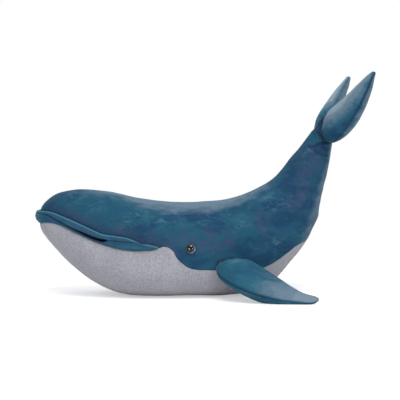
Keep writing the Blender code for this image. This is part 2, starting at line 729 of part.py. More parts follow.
def add_tail(material, filling_material, tail, round_end, flukes):
    """The tail's two panels and its stuffing, with a round front end and grooves for the flukes."""
    half_steps = BODY_STEPS_ROUND // 2
    shares = [j / half_steps for j in range(half_steps + 1)]
    core = add_core("tail_stuffing", TAIL_STATION_SHARES[:-1], BODY_STEPS_ROUND,
                    lambda place: -thin_skin(place) - SEAM_GAP, filling_material, tail, nose=False)
    cut(core, round_end, "INTERSECT")
    for hand, name in ((1, "tail_panel_left"), (-1, "tail_panel_right")):
        groove = groove_cutter("fluke_groove_%+d" % hand, flukes[hand], tail)
        panel = panel_between(
            name, TAIL_STATION_SHARES,
            lambda place, hand=hand: hand * step_round(place, 0.0, SEAM_GAP / 2),
            lambda place, hand=hand: hand * step_round(place, math.pi, -SEAM_GAP / 2),
            shares, material, tail)
        cut(panel, groove)
        cut(panel, round_end, "INTERSECT")
        cut(core, groove)


def main():
    for old in list(bpy.data.objects):
        bpy.data.objects.remove(old)
    plush = make_material("blue_plush", (0.016, 0.089, 0.150), 0.85)
    belly = make_material("grey_boucle", (0.34, 0.33, 0.37), 0.95)
    filling = make_material("polyester_filling", (0.80, 0.80, 0.78), 0.95)
    bag = make_material("bag_cloth", (0.70, 0.68, 0.62), 0.90)
    eye_materials = {
        "back": make_material("black_eye_plastic", (0.010, 0.010, 0.012), 0.25),
        "dome": make_material("clear_eye_plastic", (0.55, 0.60, 0.68), 0.05),
        "washer": make_material("white_washer_plastic", (0.75, 0.75, 0.75), 0.50),
    }

    root = make_pivot("whale", Vector())
    trunk = make_pivot("trunk", Vector(), root)
    tail = make_pivot("tail", section_centre(TAIL_STATION_SHARE), trunk)
    hollow = knuckle_prism("knuckle_hollow", knuckle_radius(), trunk)
    round_end = knuckle_prism("knuckle_round", knuckle_radius() - SEAM_GAP, tail)

    flippers = {hand: flipper_limb(hand) for hand in (1, -1)}
    flukes = {hand: fluke_limb(hand) for hand in (1, -1)}
    eye_cutters = {hand: eye_cutter(hand, trunk) for hand in (1, -1)}
    grooves = {hand: groove_cutter("flipper_groove_%+d" % hand, flippers[hand], trunk) for hand in (1, -1)}
    add_side_panels(plush, trunk, hollow, {hand: pair[0] for hand, pair in eye_cutters.items()}, grooves)
    add_belly_panel(belly, trunk)
    upper_rows = lip_rows(UPPER_LIP_SEAM_SHARES, 1, UPPER_LIP_ROW_COUNT, True)
    lower_rows = lip_rows(LOWER_LIP_SEAM_SHARES, 2, len(LIP_ROW_SHARES), False)
    add_lip("upper_lip", upper_rows, plush, filling, trunk)
    add_lip("lower_lip", lower_rows, plush, filling, trunk)
    add_core("head_stuffing", HEAD_STATION_SHARES, BODY_STEPS_ROUND,
             lambda place: -SKIN - STUFFING_GAP, filling, trunk, nose=True)
    body_start = step_along(HEAD_STATION_SHARES[-1], 2 * SEAM_GAP)
    core = add_core("body_stuffing", (body_start, *BODY_STATION_SHARES), BODY_STEPS_ROUND,
                    lambda place: -SKIN - STUFFING_GAP, filling, trunk, nose=False)
    for pair in eye_cutters.values():
        cut(core, pair[1])
    cut(core, hollow)
    add_pellet_bag(bag, trunk, core)
    for side, hand in (("left", 1), ("right", -1)):
        add_eye(side, hand, eye_materials, trunk)
        flipper = make_pivot("flipper_%s" % side, flippers[hand].origin, trunk)
        add_limb("flipper_%s" % side, (("top", 1), ("under", -1)), flippers[hand], plush, filling, flipper)

    add_tail(plush, filling, tail, round_end, flukes)
    for side, hand in (("left", 1), ("right", -1)):
        fluke = make_pivot("fluke_%s" % side, flukes[hand].origin, tail)
        add_limb("fluke_%s" % side, (("front", 1), ("rear", -1)), flukes[hand], plush, filling, fluke)
    centre_whale(root)


main()
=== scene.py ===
import json
import math

import bmesh
import bpy
import numpy as np
from mathutils import Matrix, Vector, kdtree, noise


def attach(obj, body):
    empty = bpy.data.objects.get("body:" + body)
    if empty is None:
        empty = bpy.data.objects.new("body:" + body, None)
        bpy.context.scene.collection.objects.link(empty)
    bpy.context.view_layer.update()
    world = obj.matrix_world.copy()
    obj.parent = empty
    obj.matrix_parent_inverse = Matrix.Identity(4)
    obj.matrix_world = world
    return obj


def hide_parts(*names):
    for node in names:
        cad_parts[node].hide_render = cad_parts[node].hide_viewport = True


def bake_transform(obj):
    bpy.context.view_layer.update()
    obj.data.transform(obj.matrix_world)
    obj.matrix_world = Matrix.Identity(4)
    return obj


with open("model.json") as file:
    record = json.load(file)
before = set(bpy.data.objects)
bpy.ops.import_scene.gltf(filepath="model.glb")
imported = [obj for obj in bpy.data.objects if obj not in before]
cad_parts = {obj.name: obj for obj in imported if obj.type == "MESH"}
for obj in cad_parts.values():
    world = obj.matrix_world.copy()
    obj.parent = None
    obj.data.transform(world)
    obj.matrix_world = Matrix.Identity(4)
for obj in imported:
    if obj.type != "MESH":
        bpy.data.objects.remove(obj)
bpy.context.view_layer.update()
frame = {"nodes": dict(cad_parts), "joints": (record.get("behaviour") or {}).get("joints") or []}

# The whale's nose points to -X, its left side to -Y and its back to +Z, and its belly rests on z = 0.
# Places on the body are given by a station, counted from the nose back, and a turn, which is the angle
# round the section: 0 on the back, pi on the belly, between them the left side, and negative on the right.

MM = 0.001
UP = np.array((0.0, 0.0, 1.0))

# Body, with the sections that the solids have
BODY_LENGTH = 430 * MM
BODY_RISE = 260 * MM
BODY_WIDTH = 152 * MM
UPPER_POWER_SHARE = 2.1
STATION_SHARES = (
    (0.008, 0.450, 0.008, 0.450, 0.00, 2.0),
    (0.026, 0.507, 0.012, 0.400, 0.30, 2.0),
    (0.058, 0.548, 0.021, 0.350, 0.45, 2.0),
    (0.111, 0.581, 0.057, 0.272, 0.59, 2.0),
    (0.177, 0.585, 0.116, 0.168, 0.72, 2.1),
    (0.250, 0.571, 0.189, 0.075, 0.82, 2.3),
    (0.331, 0.541, 0.276, 0.012, 0.91, 2.7),
    (0.421, 0.518, 0.384, -0.002, 0.97, 3.0),
    (0.507, 0.511, 0.506, -0.002, 1.00, 3.0),
    (0.570, 0.514, 0.633, -0.002, 0.98, 3.0),
    (0.621, 0.522, 0.759, 0.031, 0.93, 2.6),
    (0.683, 0.546, 0.855, 0.178, 0.83, 2.2),
    (0.744, 0.587, 0.913, 0.304, 0.71, 2.1),
    (0.792, 0.635, 0.944, 0.422, 0.60, 2.0),
    (0.830, 0.693, 0.963, 0.552, 0.49, 2.0),
    (0.860, 0.760, 0.981, 0.681, 0.39, 2.0),
    (0.888, 0.817, 0.991, 0.771, 0.30, 2.0),
    (0.921, 0.888, 0.998, 0.852, 0.21, 2.0),
    (0.948, 0.936, 0.996, 0.907, 0.11, 2.0),
    (0.965, 0.980, 1.000, 0.959, 0.10, 2.0),
    (0.983, 1.004, 0.996, 0.996, 0.05, 2.0),
)
TAIL_STATION_SHARE = 13.0
FIRST_STATION_SHARE = 0.29
LAST_STATION_SHARE = 20.0
CLOSED_STATION_SHARE = 12.1
CORNER_STATION_SHARE = 6.97

# Seams, as (station, turn as a share of half a turn)
UPPER_LIP_SEAM_SHARES = ((0.26, 0.000), (0.5, 0.250), (0.8, 0.365), (1.5, 0.425), (2.2, 0.437),
                         (3.0, 0.460), (3.8, 0.461), (4.9, 0.468), (5.35, 0.452), (5.8, 0.438),
                         (6.1, 0.447), (6.34, 0.457))
MOUTH_SHARES = ((0.0, 0.500), (1.0, 0.490), (2.1, 0.494), (2.6, 0.515), (3.15, 0.525), (3.7, 0.520),
                (4.5, 0.514), (4.9, 0.508), (5.35, 0.486), (5.7, 0.472), (6.1, 0.460), (6.5, 0.457),
                (6.97, 0.469))
LOWER_LIP_SEAM_SHARES = ((0.85, 1.000), (1.1, 0.840), (1.5, 0.700), (2.0, 0.625), (2.5, 0.576),
                         (3.0, 0.558), (3.9, 0.540), (4.8, 0.527), (5.15, 0.519), (5.9, 0.505),
                         (6.5, 0.499), (6.75, 0.492), (6.9, 0.478), (6.97, 0.470))
BELLY_SEAM_SHARES = ((6.97, 0.470), (7.05, 0.464), (7.23, 0.464), (7.4, 0.499), (7.6, 0.524),
                     (7.85, 0.556), (8.1, 0.570), (8.6, 0.570), (9.2, 0.576), (9.8, 0.604),
                     (10.4, 0.664), (11.0, 0.720), (11.3, 0.740), (11.6, 0.780), (11.9, 0.900),
                     (12.1, 1.000))
SIDE_SEAM_SHARES = UPPER_LIP_SEAM_SHARES + ((6.5, 0.457),) + BELLY_SEAM_SHARES
THROAT_SEAM_SHARES = LOWER_LIP_SEAM_SHARES[:-1] + BELLY_SEAM_SHARES
# Stations of the mouth line, the upper seam and the lower seam that each row across the lips joins
LIP_ROW_SHARES = ((0.0, 0.26, 0.85), (0.2, 0.4, 0.9), (0.6, 0.7, 1.1), (1.1, 1.2, 1.5), (1.7, 1.8, 1.9),
                  (2.4, 2.4, 2.4), (3.1, 3.1, 3.1), (3.9, 3.9, 3.9), (4.6, 4.6, 4.6), (5.1, 5.1, 5.1),
                  (5.5, 5.5, 5.5), (6.1, 6.1, 6.1), (6.5, 6.5, 6.5), (6.92, 6.92, 6.92))
UPPER_LIP_LAST_ROW = 11.6
LOWER_LIP_LAST_ROW = 13

# Lips: how far they stand off the body and how far they part, as (mm from the front, value)
UPPER_LIP_BULGE = ((0, 5.2), (28, 4.6), (60, 4.6))
LOWER_LIP_BULGE = ((0, 5.2), (24, 4.4), (40, 3.0), (90, 3.2), (120, 4.8))
LIPS_PARTED_SHARES = ((29, 0.0), (45, 0.10), (78, 0.25), (98, 0.9), (126, 1.0), (134, 0.0))
FRONT_ROLL_SHARES = ((20, 1.0), (36, 0.0))
FRONT_FOLD_SHARES = ((0, 0.3), (8, 1.0), (26, 1.0), (36, 0.0))
FRONT_FOLD_PITCH = 4.6 * MM
FRONT_FOLD_DEPTH = 0.5 * MM
SLIT_HALF = 1.5 * MM
LIP_TOUCH = 0.02 * MM
LIP_EDGE_RADIUS = 3.2 * MM
LIP_DEPTH = 2.2 * MM
LIP_SEAM_DEPTH = 1.4 * MM
LIP_CLOSED_DEPTH = 2.6 * MM
LIP_END_LENGTH = 9 * MM
LIP_INNER_DEPTH = 6.0 * MM
LIP_HOLLOW_SHARE = 0.22
RIM_WIDTH = 1.3 * MM
UPPER_LIP_END_SHARE = 6.3

# Fabric
FABRIC = 1.8 * MM
NARROW_SHARE = 0.3
ROW_STEP = 2.4 * MM
FINE_ROW_STEP = 1.1 * MM
SEAM_STEPS = tuple(step * MM for step in (0.0, 0.4, 0.9, 1.6, 2.6, 4.0))
SEAM_STEPS_SHARE = 0.4
EYE_ROW_STEPS = ((6.4, ROW_STEP), (6.8, FINE_ROW_STEP), (8.2, FINE_ROW_STEP), (8.8, ROW_STEP))
SKIN_STEPS = 36
BELLY_STEPS = 44
PATH_STEPS = 24
SEAM_PATH_STEPS = 260
WELD = 0.01 * MM
SMALL = 1e-9
# Bumps of the fabric, broad ones and fine ones, as (size, height) in mm
SKIN_BUMPS = ((42, 1.1), (15, 0.35))
BELLY_BUMPS = ((50, 0.8), (4, 0.18))
LIMB_BUMPS = ((26, 0.7), (9, 0.2))
# How the fabric rolls in at its seams, as (radius, depth) in mm
LIP_TUCK = (8.0, 2.0)
SIDE_TUCK = (2.0, 0.3)
BACK_TUCK = (2.6, 0.7)
THROAT_TUCK = (2.6, 1.1)
BELLY_TUCK = (2.0, 0.5)
LIMB_TUCK = (3.2, 1.8)
ROOT_CREASE = (4.0, 1.2)

# Limbs, as on the solids
FLIPPER_LENGTH = 120 * MM
FLIPPER_SPAN = 78 * MM
FLIPPER_THICKNESS = 26 * MM
FLIPPER_ROOT_SHARES = (-0.15, 0.17)
FLIPPER_ROW_SHARES = (
    (-0.185, 0.10, 0.210, 0.05, 0.66),
    (-0.165, 0.30, 0.290, 0.13, 0.94),
    (-0.030, 0.55, 0.390, 0.23, 1.00),
    (0.180, 0.79, 0.505, 0.40, 0.90),
    (0.410, 0.95, 0.615, 0.61, 0.70),
    (0.640, 1.02, 0.745, 0.80, 0.50),
    (0.800, 1.06, 0.870, 0.88, 0.34),
    (0.895, 1.03, 0.935, 0.93, 0.00),
)
# How full each side of a limb is at each of its rows: front or top, all over the rear or under side, and
# more of it at the leading edge
FLIPPER_FULLNESS_SHARES = ((1.0, 1.0, 0.0), (1.2, 1.0, 0.0), (1.9, 1.0, 0.2), (1.85, 1.0, 0.6),
                           (1.3, 1.0, 0.7), (1.0, 1.0, 1.15), (1.0, 1.0, 1.8), (1.0, 1.0, 1.0),
                           (1.0, 1.0, 0.2), (1.0, 1.0, 0.0))
FAR_FLIPPER_LIFT_DEG = 16
FLUKE_SWEEP = 99 * MM
FLUKE_SPAN = 72 * MM
FLUKE_THICKNESS = 37 * MM
FLUKE_FOLD_DEG = 19
FLUKE_ROOT_SHARES = (0.03, 0.27)
FLUKE_ROW_SHARES = (
    (-0.030, 0.08, 0.330, 0.06, 0.50),
    (-0.120, 0.29, 0.430, 0.20, 0.92),
    (-0.080, 0.51, 0.550, 0.36, 1.00),
    (0.090, 0.73, 0.690, 0.53, 0.92),
    (0.350, 0.90, 0.830, 0.70, 0.76),
    (0.670, 1.00, 0.940, 0.86, 0.50),
    (0.930, 1.02, 0.990, 0.96, 0.22),
    (0.995, 1.03, 1.015, 1.01, 0.00),
)
# The stuffing of the right fluke lies more to its front
FLUKE_FULLNESS_SHARES = {
    1: ((1.0, 1.0, 0.0), (1.0, 1.0, 0.0), (1.0, 0.85, 0.0), (1.0, 0.82, 0.0), (0.82, 1.0, 0.0),
        (0.68, 1.1, 0.0), (0.66, 1.12, 0.0), (0.75, 1.05, 0.0), (1.0, 1.0, 0.0), (1.0, 1.0, 0.0)),
    -1: ((1.0, 1.0, 0.0), (1.0, 1.0, 0.0), (1.12, 0.8, 0.0), (1.0, 0.6, 0.0), (0.9, 0.5, 0.0),
         (0.9, 0.5, 0.0), (0.85, 0.5, 0.0), (0.8, 0.6, 0.0), (1.0, 0.8, 0.0), (1.0, 1.0, 0.0)),
}
TIP_THICKNESS_SHARE = 0.8
ROOT_RADIUS = 4.0 * MM
ROOT_DEPTH = 5.0 * MM
LIMB_STEPS_ROUND = 72
LIMB_STEPS_A_ROW = 12
ROOT_ROWS = 3 * LIMB_STEPS_A_ROW
ROOT_PUCKERS = 11
PUCKER_DEPTH = 0.7 * MM

# Eyes
EYE_STATION_SHARE = 7.93
EYE_TURN_SHARE = 0.477
EYE_DIAMETER = 14 * MM
EYE_DOME = 3.6 * MM
EYE_BASE = 0.5 * MM
EYE_DIMPLE = 1.2 * MM
LENS_SHARE = 0.88
PUPIL_SHARES = (-0.20, 0.06)
SHANK_RADIUS = 2.5 * MM
EYE_STEPS = 48
DOME_STEPS = 14

# Camera, at the photo's angle
CAMERA_TARGET = Vector((-1.4, 0.0, 135.7)) * MM
CAMERA_DISTANCE = 1.8
CAMERA_YAW_DEG = -6.0
CAMERA_RISE_DEG = 3.16
PIXEL = 1.45 * MM
PICTURE_PIXELS = 400
SENSOR = 36.0

# The left side of the body and the right one
HANDS = (1, -1)


def lengths(vectors):
    """The lengths of vectors."""
    return np.linalg.norm(vectors, axis=-1)


def walked(line):
    """How far along a line each of its points lies."""
    return np.concatenate(((0.0,), np.cumsum(lengths(np.diff(line, axis=0)))))


def bell(value, width):
    """1 where a value is 0, and falling off over a width."""
    return np.exp(-(value / width) ** 2)


def ramp(value, low, high):
    """How far a value is from low to high, from 0 to 1."""
    return np.clip((value - low) / (high - low), 0.0, 1.0)


def spline(rows, place):
    """The values at places counted in rows, on a smooth curve through rows of numbers."""
    rows = np.array(rows, float)
    last = len(rows) - 1
    row = np.clip(np.floor(place).astype(int), 0, last - 1)
    t = (place - row)[..., None]
    a, b, c, d = (rows[np.clip(row + k, 0, last)] for k in (-1, 0, 1, 2))
    return 0.5 * (2 * b + (c - a) * t + (2 * a - 5 * b + 4 * c - d) * t ** 2
                  + (3 * b - a - 3 * c + d) * t ** 3)


def station(place):
    """Top, bottom, half width and lower power of the body's sections at stations."""
    second = STATION_SHARES[1]
    before_nose = (second[2], second[3], second[0], second[1], -second[4], second[5])
    values = spline((before_nose,) + STATION_SHARES, np.asarray(place, float) + 1)
    top_x, top_z, bottom_x, bottom_z, wide, power = np.moveaxis(values, -1, 0)
    level = np.zeros_like(top_x)
    top = np.stack((top_x * BODY_LENGTH + nose_x, level, top_z * BODY_RISE), axis=-1)
    bottom = np.stack((bottom_x * BODY_LENGTH + nose_x, level, bottom_z * BODY_RISE), axis=-1)
    return top, bottom, wide * BODY_WIDTH / 2, power


def section_centre(place):
    """The middle of the section at a station."""
    top, bottom, _, _ = station(place)
    return (top + bottom) / 2


def on_body(place, turn):
    """The points of the body's surface at stations and turns."""
    top, bottom, half, lower_power = station(place)
    c, s = np.cos(turn), np.sin(turn)
    power = np.where(c > 0, UPPER_POWER_SHARE, lower_power)
    up = np.sign(c) * np.abs(c) ** (2 / power)
    side = np.sign(s) * np.abs(s) ** (2 / power)
    point = (top + bottom) / 2 + (top - bottom) / 2 * up[..., None]
    point[..., 1] -= half * side
    return point


def body_normal(place, turn, probe=0.01):
    """The outward directions of the body's surface at stations and turns."""
    place = np.maximum(place, 2 * probe)
    along = on_body(place + probe, turn) - on_body(place - probe, turn)
    across = on_body(place, turn + probe) - on_body(place, turn - probe)
    normal = np.cross(along, across)
    normal /= lengths(normal)[..., None] + SMALL
    outward = on_body(place, turn) - section_centre(place)
    return normal * np.where(np.sum(normal * outward, axis=-1) > 0, 1.0, -1.0)[..., None]


def seam(rows, place, soften=0.07):
    """The turns of a seam at stations, with its corners rounded off."""
    places, turns = np.array(rows).T
    total = sum(np.interp(place + soften * step, places, turns) for step in (-1.5, -0.5, 0.5, 1.5))
    return math.pi * total / 4


def seam_path(rows, first, last, hand):
    """A seam's line on the left or the right of the body."""
    places = np.linspace(first, last, SEAM_PATH_STEPS)
    return on_body(places, hand * seam(rows, places))


def spot_at(place, share, hand):
    """A spot on the body at a station and a share of half a turn, left or right."""
    return on_body(np.array(place), np.array(hand * share * math.pi))


def nearest(points, path):
    """For each point, its distance from a path, and how far along the path that is, from 0 to 1."""
    reach = np.full(len(points), np.inf)
    along = np.zeros(len(points))
    for k, (start, end) in enumerate(zip(path, path[1:])):
        line = end - start
        t = np.clip((points - start) @ line / (line @ line + SMALL ** 2), 0.0, 1.0)
        gap = lengths(points - start - t[:, None] * line)
        closer = gap < reach
        reach[closer] = gap[closer]
        along[closer] = (k + t[closer]) / (len(path) - 1)
    return reach, along


def tucked(points, path, tuck):
    """How deep the fabric rolls in towards a seam, for a (radius, depth) in mm."""
    radius, depth = (size * MM for size in tuck)
    near, _ = nearest(points, path)
    inward = 1 - np.clip(near / radius, 0.0, 1.0)
    return -depth * (1 - np.sqrt(1 - inward ** 2))


def crease(points, path, width, depth, shoulder=0.4):
    """A valley along a path, in mm, that fades at its ends, with low shoulders beside it."""
    near, along = nearest(points, path)
    fade = np.sin(np.pi * np.clip(along, 0.03, 0.97)) ** 0.6
    x = near / (width * MM)
    return depth * MM * fade * (shoulder * bell(x - 2, 1) - bell(x, 1))


def bumps(points, sizes):
    """Soft random bumps, for a table of (size, height) in mm."""
    rounds = []
    for k, (size, height) in enumerate(sizes):
        values = [noise.noise(Vector(point / (size * MM))) for point in points + k * UP]
        rounds.append(height * MM * np.array(values))
    return sum(rounds)


def around(points, spots, radius):
    """How near points are to any of some spots, from 0 to 1."""
    near = np.zeros(len(points))
    for spot in spots:
        near = np.maximum(near, bell(lengths(points - spot), radius))
    return near


def row_places(first, last, steps):
    """Stations with the row spacing that a table of (station, spacing) asks for."""
    dense = np.linspace(first, last, 2000)
    top, bottom, _, _ = station(dense)
    stride = np.maximum(*(lengths(np.diff(line, axis=0)) for line in (top, bottom)))
    places, spacing = np.array(steps).T
    count = np.concatenate(((0.0,), np.cumsum(stride / np.interp(dense[1:], places, spacing))))
    return np.interp(np.linspace(0.0, count[-1], math.ceil(count[-1]) + 1), count, dense)


def even_turns(place, start, end, count, fine_end):
    """Turns between two at a station, evenly spaced round the section and closer at its seams."""
    dense = np.linspace(start, end, 240)
    reach = walked(on_body(np.full(len(dense), place), dense))
    length = reach[-1]
    shrink = min(1.0, SEAM_STEPS_SHARE * length / SEAM_STEPS[-1])
    near = [step * shrink for step in SEAM_STEPS]
    far = [length - step for step in reversed(near)] if fine_end else [length]
    middle = np.linspace(near[-1], far[0], count + 2)[1:-1]
    return np.interp(np.concatenate((near, middle, far)), reach, dense)


def grid_faces(bm, grid):
    """Faces over rows of vertices."""
    for near, far in zip(grid, grid[1:]):
        for a, b, c, d in zip(near, near[1:], far[1:], far):
            bm.faces.new((a, b, c, d))


def add_grid(bm, points):
    """A grid of vertices with its faces."""
    grid = [[bm.verts.new(point) for point in row] for row in points]
    grid_faces(bm, grid)
    return grid


def add_shell(bm, outer_points, inner_points, open_rows=None):
    """A shell between two grids, closed along their edges; past the open rows the sides already meet."""
    outer = add_grid(bm, outer_points)
    inner = add_grid(bm, inner_points)
    rows = len(outer) if open_rows is None else open_rows
    grid_faces(bm, (outer[0], inner[0]))
    for j in (0, -1):
        grid_faces(bm, ([row[j] for row in outer[:rows]], [row[j] for row in inner[:rows]]))
    if open_rows is None:
        grid_faces(bm, (outer[-1], inner[-1]))
        return
    for grid in (outer, inner):
        close_ring(bm, grid[-1][:-1])


def close_ring(bm, ring, middle=None):
    """Close a ring of vertices with faces to its middle, or to a point that is given."""
    if middle is None:
        middle = sum((vert.co for vert in ring), Vector()) / len(ring)
    tip = bm.verts.new(middle)
    for a, b in zip(ring, ring[1:] + ring[:1]):
        bm.faces.new((a, b, tip))


def add_tube(bm, points, start=None, end=None):
    """Faces over rings of points, closed at both ends."""
    rings = [[bm.verts.new(point) for point in ring] for ring in points]
    grid_faces(bm, [ring + ring[:1] for ring in rings])
    close_ring(bm, rings[0], start)
    close_ring(bm, rings[-1], end)


def add_object(name, data):
    """An object of the scene."""
    made = bpy.data.objects.new(name, data)
    bpy.context.scene.collection.objects.link(made)
    return made


def make_piece(name, bm, material):
    """A smooth piece from a closed mesh, which remembers where each point lies at rest."""
    bmesh.ops.remove_doubles(bm, verts=bm.verts, dist=WELD)
    bmesh.ops.dissolve_degenerate(bm, edges=bm.edges, dist=WELD)
    bmesh.ops.recalc_face_normals(bm, faces=bm.faces)
    if bm.calc_volume(signed=True) < 0:
        bmesh.ops.reverse_faces(bm, faces=bm.faces)
    mesh = bpy.data.meshes.new(name)
    bm.to_mesh(mesh)
    bm.free()
    mesh.shade_smooth()
    mesh.materials.append(material)
    place = mesh.attributes.new("place", "FLOAT_VECTOR", "POINT")
    place.data.foreach_set("vector", points_of(mesh).astype(np.float32).ravel())
    return add_object(name, mesh)


def points_of(mesh, kind="co"):
    """A mesh's points, or their normals, as rows."""
    values = np.zeros(3 * len(mesh.vertices), np.float32)
    mesh.vertices.foreach_get(kind, values)
    return values.reshape(-1, 3).astype(float)


def paint(piece, name, values):
    """Keep a value from 0 to 1 at each point, for the material to use."""
    attribute = piece.data.attributes.new(name, "FLOAT", "POINT")
    attribute.data.foreach_set("value", np.clip(values, 0.0, 1.0).astype(np.float32))


def tree_of(points):
    """A tree that finds the nearest of some points."""
    tree = kdtree.KDTree(len(points))
    for k, point in enumerate(points):
        tree.insert(point, k)
    tree.balance()
    return tree


def paint_near(piece, points, **paints):
    """Paint a piece with the values that the nearest of some points have."""
    tree = tree_of(points)
    nearest_ones = [tree.find(vert.co)[1] for vert in piece.data.vertices]
    for name, values in paints.items():
        paint(piece, name, values[nearest_ones])


def body_path(spots, hand):
    """A smooth line on the body through (station, turn share) spots, on the left or the right."""
    values = spline(np.array(spots) * (1, hand), np.linspace(0.0, len(spots) - 1, PATH_STEPS))
    return on_body(values[:, 0], values[:, 1] * math.pi)


# Creases where the skin gathers at the flukes and folds below them: spots on the left side, width, depth
TAIL_CREASES = (
    (((17.45, 0.24), (17.30, 0.33), (17.10, 0.44), (16.95, 0.55), (16.85, 0.65), (16.80, 0.74)), 2.2, 2.6),
    (((18.75, 0.17), (18.2, 0.24), (17.75, 0.30), (17.35, 0.37)), 1.6, 2.0),
    (((18.60, 0.08), (18.0, 0.15), (17.5, 0.22), (17.2, 0.30)), 1.6, 1.7),
    (((17.90, 0.06), (17.5, 0.12), (17.2, 0.19), (16.95, 0.28)), 1.6, 1.4),
    (((16.20, 0.27), (16.22, 0.37), (16.46, 0.46), (16.70, 0.60), (16.80, 0.70)), 1.9, 2.0),
    (((16.36, 0.53), (16.31, 0.61), (16.20, 0.69)), 1.5, 1.2),
    (((15.95, 0.45), (15.84, 0.54), (15.80, 0.64), (15.94, 0.76)), 1.7, 1.6),
    (((15.5, 0.62), (15.55, 0.72), (15.5, 0.82)), 1.6, 0.7),
)
# Where the stuffing presses the skin out: (station, turn share), radius, height
BODY_BULGES = (((2.2, 0.0), 13.0, 1.8), ((13.0, 0.93), 14.0, 2.4))
# Soft folds over the body where the stuffing shifts
BODY_FOLDS = (
    (((14.0, 0.70), (14.3, 0.80), (14.5, 0.92)), 5.0, 0.9),
    (((13.0, 0.74), (13.3, 0.84), (13.4, 0.95)), 6.0, 1.0),
    (((9.9, 0.30), (10.6, 0.38), (11.0, 0.50)), 9.0, 0.6),
    (((6.2, 0.20), (6.4, 0.30), (6.4, 0.38)), 9.0, 0.5),
)
# Where the pile shows violet and where it is brushed light, as (station, turn share)
VIOLET_SPOTS = ((8.85, 0.48), (8.6, 0.40), (9.3, 0.44), (10.85, 0.43), (10.98, 0.40), (12.66, 0.47),
                (13.23, 0.485), (13.5, 0.48), (4.3, 0.44), (5.55, 0.405), (6.59, 0.435), (8.92, 0.47),
                (7.7, 0.41), (15.2, 0.42), (14.5, 0.40), (7.2, 0.435), (7.9, 0.425), (8.3, 0.45),
                (13.9, 0.44), (14.6, 0.48), (15.2, 0.50), (15.8, 0.46))
LIGHT_SPOTS = ((11.9, 0.34), (12.34, 0.415), (11.9, 0.235), (4.36, 0.28), (5.68, 0.345), (6.15, 0.245),
               (6.87, 0.295), (7.46, 0.255), (8.45, 0.26), (9.69, 0.24), (10.1, 0.33), (3.4, 0.20),
               (11.9, 0.745), (10.88, 0.59), (13.3, 0.73), (15.9, 0.30))


def skin_lift(points):
    """How the upper skin stands off the plain body: tucked seams, gathers, folds and bumps."""
    lift = bumps(points, SKIN_BUMPS)
    for spot, radius, height in BODY_BULGES:
        centres = [spot_at(*spot, hand) for hand in HANDS]
        lift += height * MM * around(points, centres, radius * MM)
    for hand in HANDS:
        lip_seam = seam_path(SIDE_SEAM_SHARES, 0.27, 6.4, hand)
        _, back = nearest(points, lip_seam)
        lift += tucked(points, lip_seam, LIP_TUCK) * (1 - 0.7 * ramp(back, 0.84, 0.97))
        lift += tucked(points, seam_path(SIDE_SEAM_SHARES, 6.5, CLOSED_STATION_SHARE, hand), SIDE_TUCK)
        for spots, width, depth in TAIL_CREASES + BODY_FOLDS:
            lift += crease(points, body_path(spots, hand), width, depth)
    for turn, first in ((0.0, FIRST_STATION_SHARE), (math.pi, CLOSED_STATION_SHARE)):
        places = np.linspace(first, LAST_STATION_SHARE, 200)
        lift += tucked(points, on_body(places, np.full(len(places), turn)), BACK_TUCK)
    for limb in limbs.values():
        root = np.array([limb.place(share * limb.length, 0.0, 0.0) for share in limb.root_shares])
        lift += crease(points, root, *ROOT_CREASE)
    for placing in eyes.values():
        gap = lengths(points - np.array(placing.translation))
        lift -= EYE_DIMPLE * np.exp(-(gap / (EYE_DIAMETER / 2 + 1.0 * MM)) ** 4)
    return lift


def lifted(place, turn, lift):
    """Points off the body by a lift along its normal, and never under the floor."""
    points = on_body(place, turn) + body_normal(place, turn) * lift[..., None]
    points[..., 2] = np.maximum(points[..., 2], 0.0)
    return points


def fabric_thickness(place):
    """The fabric's thickness, less where the section is too narrow for it."""
    return np.minimum(FABRIC, station(place)[2] * NARROW_SHARE)


def body_sheet(name, places, turns, lift_of, material, open_rows=None):
    """A sheet of fabric over the body, given as stations and turns of its points."""
    shape = turns.shape
    place = np.repeat(places[:, None], shape[1], axis=1)
    points = on_body(place, turns).reshape(-1, 3)
    lift = lift_of(points).reshape(shape)
    bm = bmesh.new()
    add_shell(bm, lifted(place, turns, lift), lifted(place, turns, lift - fabric_thickness(place)), open_rows)
    return make_piece(name, bm, material)


def add_skin(material):
    """The upper skin: one sleeve over head, body and tail."""
    steps = ((1.4, FINE_ROW_STEP), (2.2, ROW_STEP)) + EYE_ROW_STEPS + ((15.0, ROW_STEP), (15.6, FINE_ROW_STEP))
    open_places = row_places(FIRST_STATION_SHARE, CLOSED_STATION_SHARE, steps)
    closed_places = row_places(CLOSED_STATION_SHARE, LAST_STATION_SHARE, steps)[1:]
    places = np.concatenate((open_places, closed_places))
    rows = []
    for place in places:
        end = seam(SIDE_SEAM_SHARES, place) if place < CLOSED_STATION_SHARE - SMALL else math.pi
        half = even_turns(place, 0.0, float(end), SKIN_STEPS, True)
        rows.append(np.concatenate((half[::-1], -half[1:])))
    skin = body_sheet("body_skin", places, np.array(rows), skin_lift, material, len(open_places))
    paint_spots(skin)
    paint_skin(skin)
    return skin


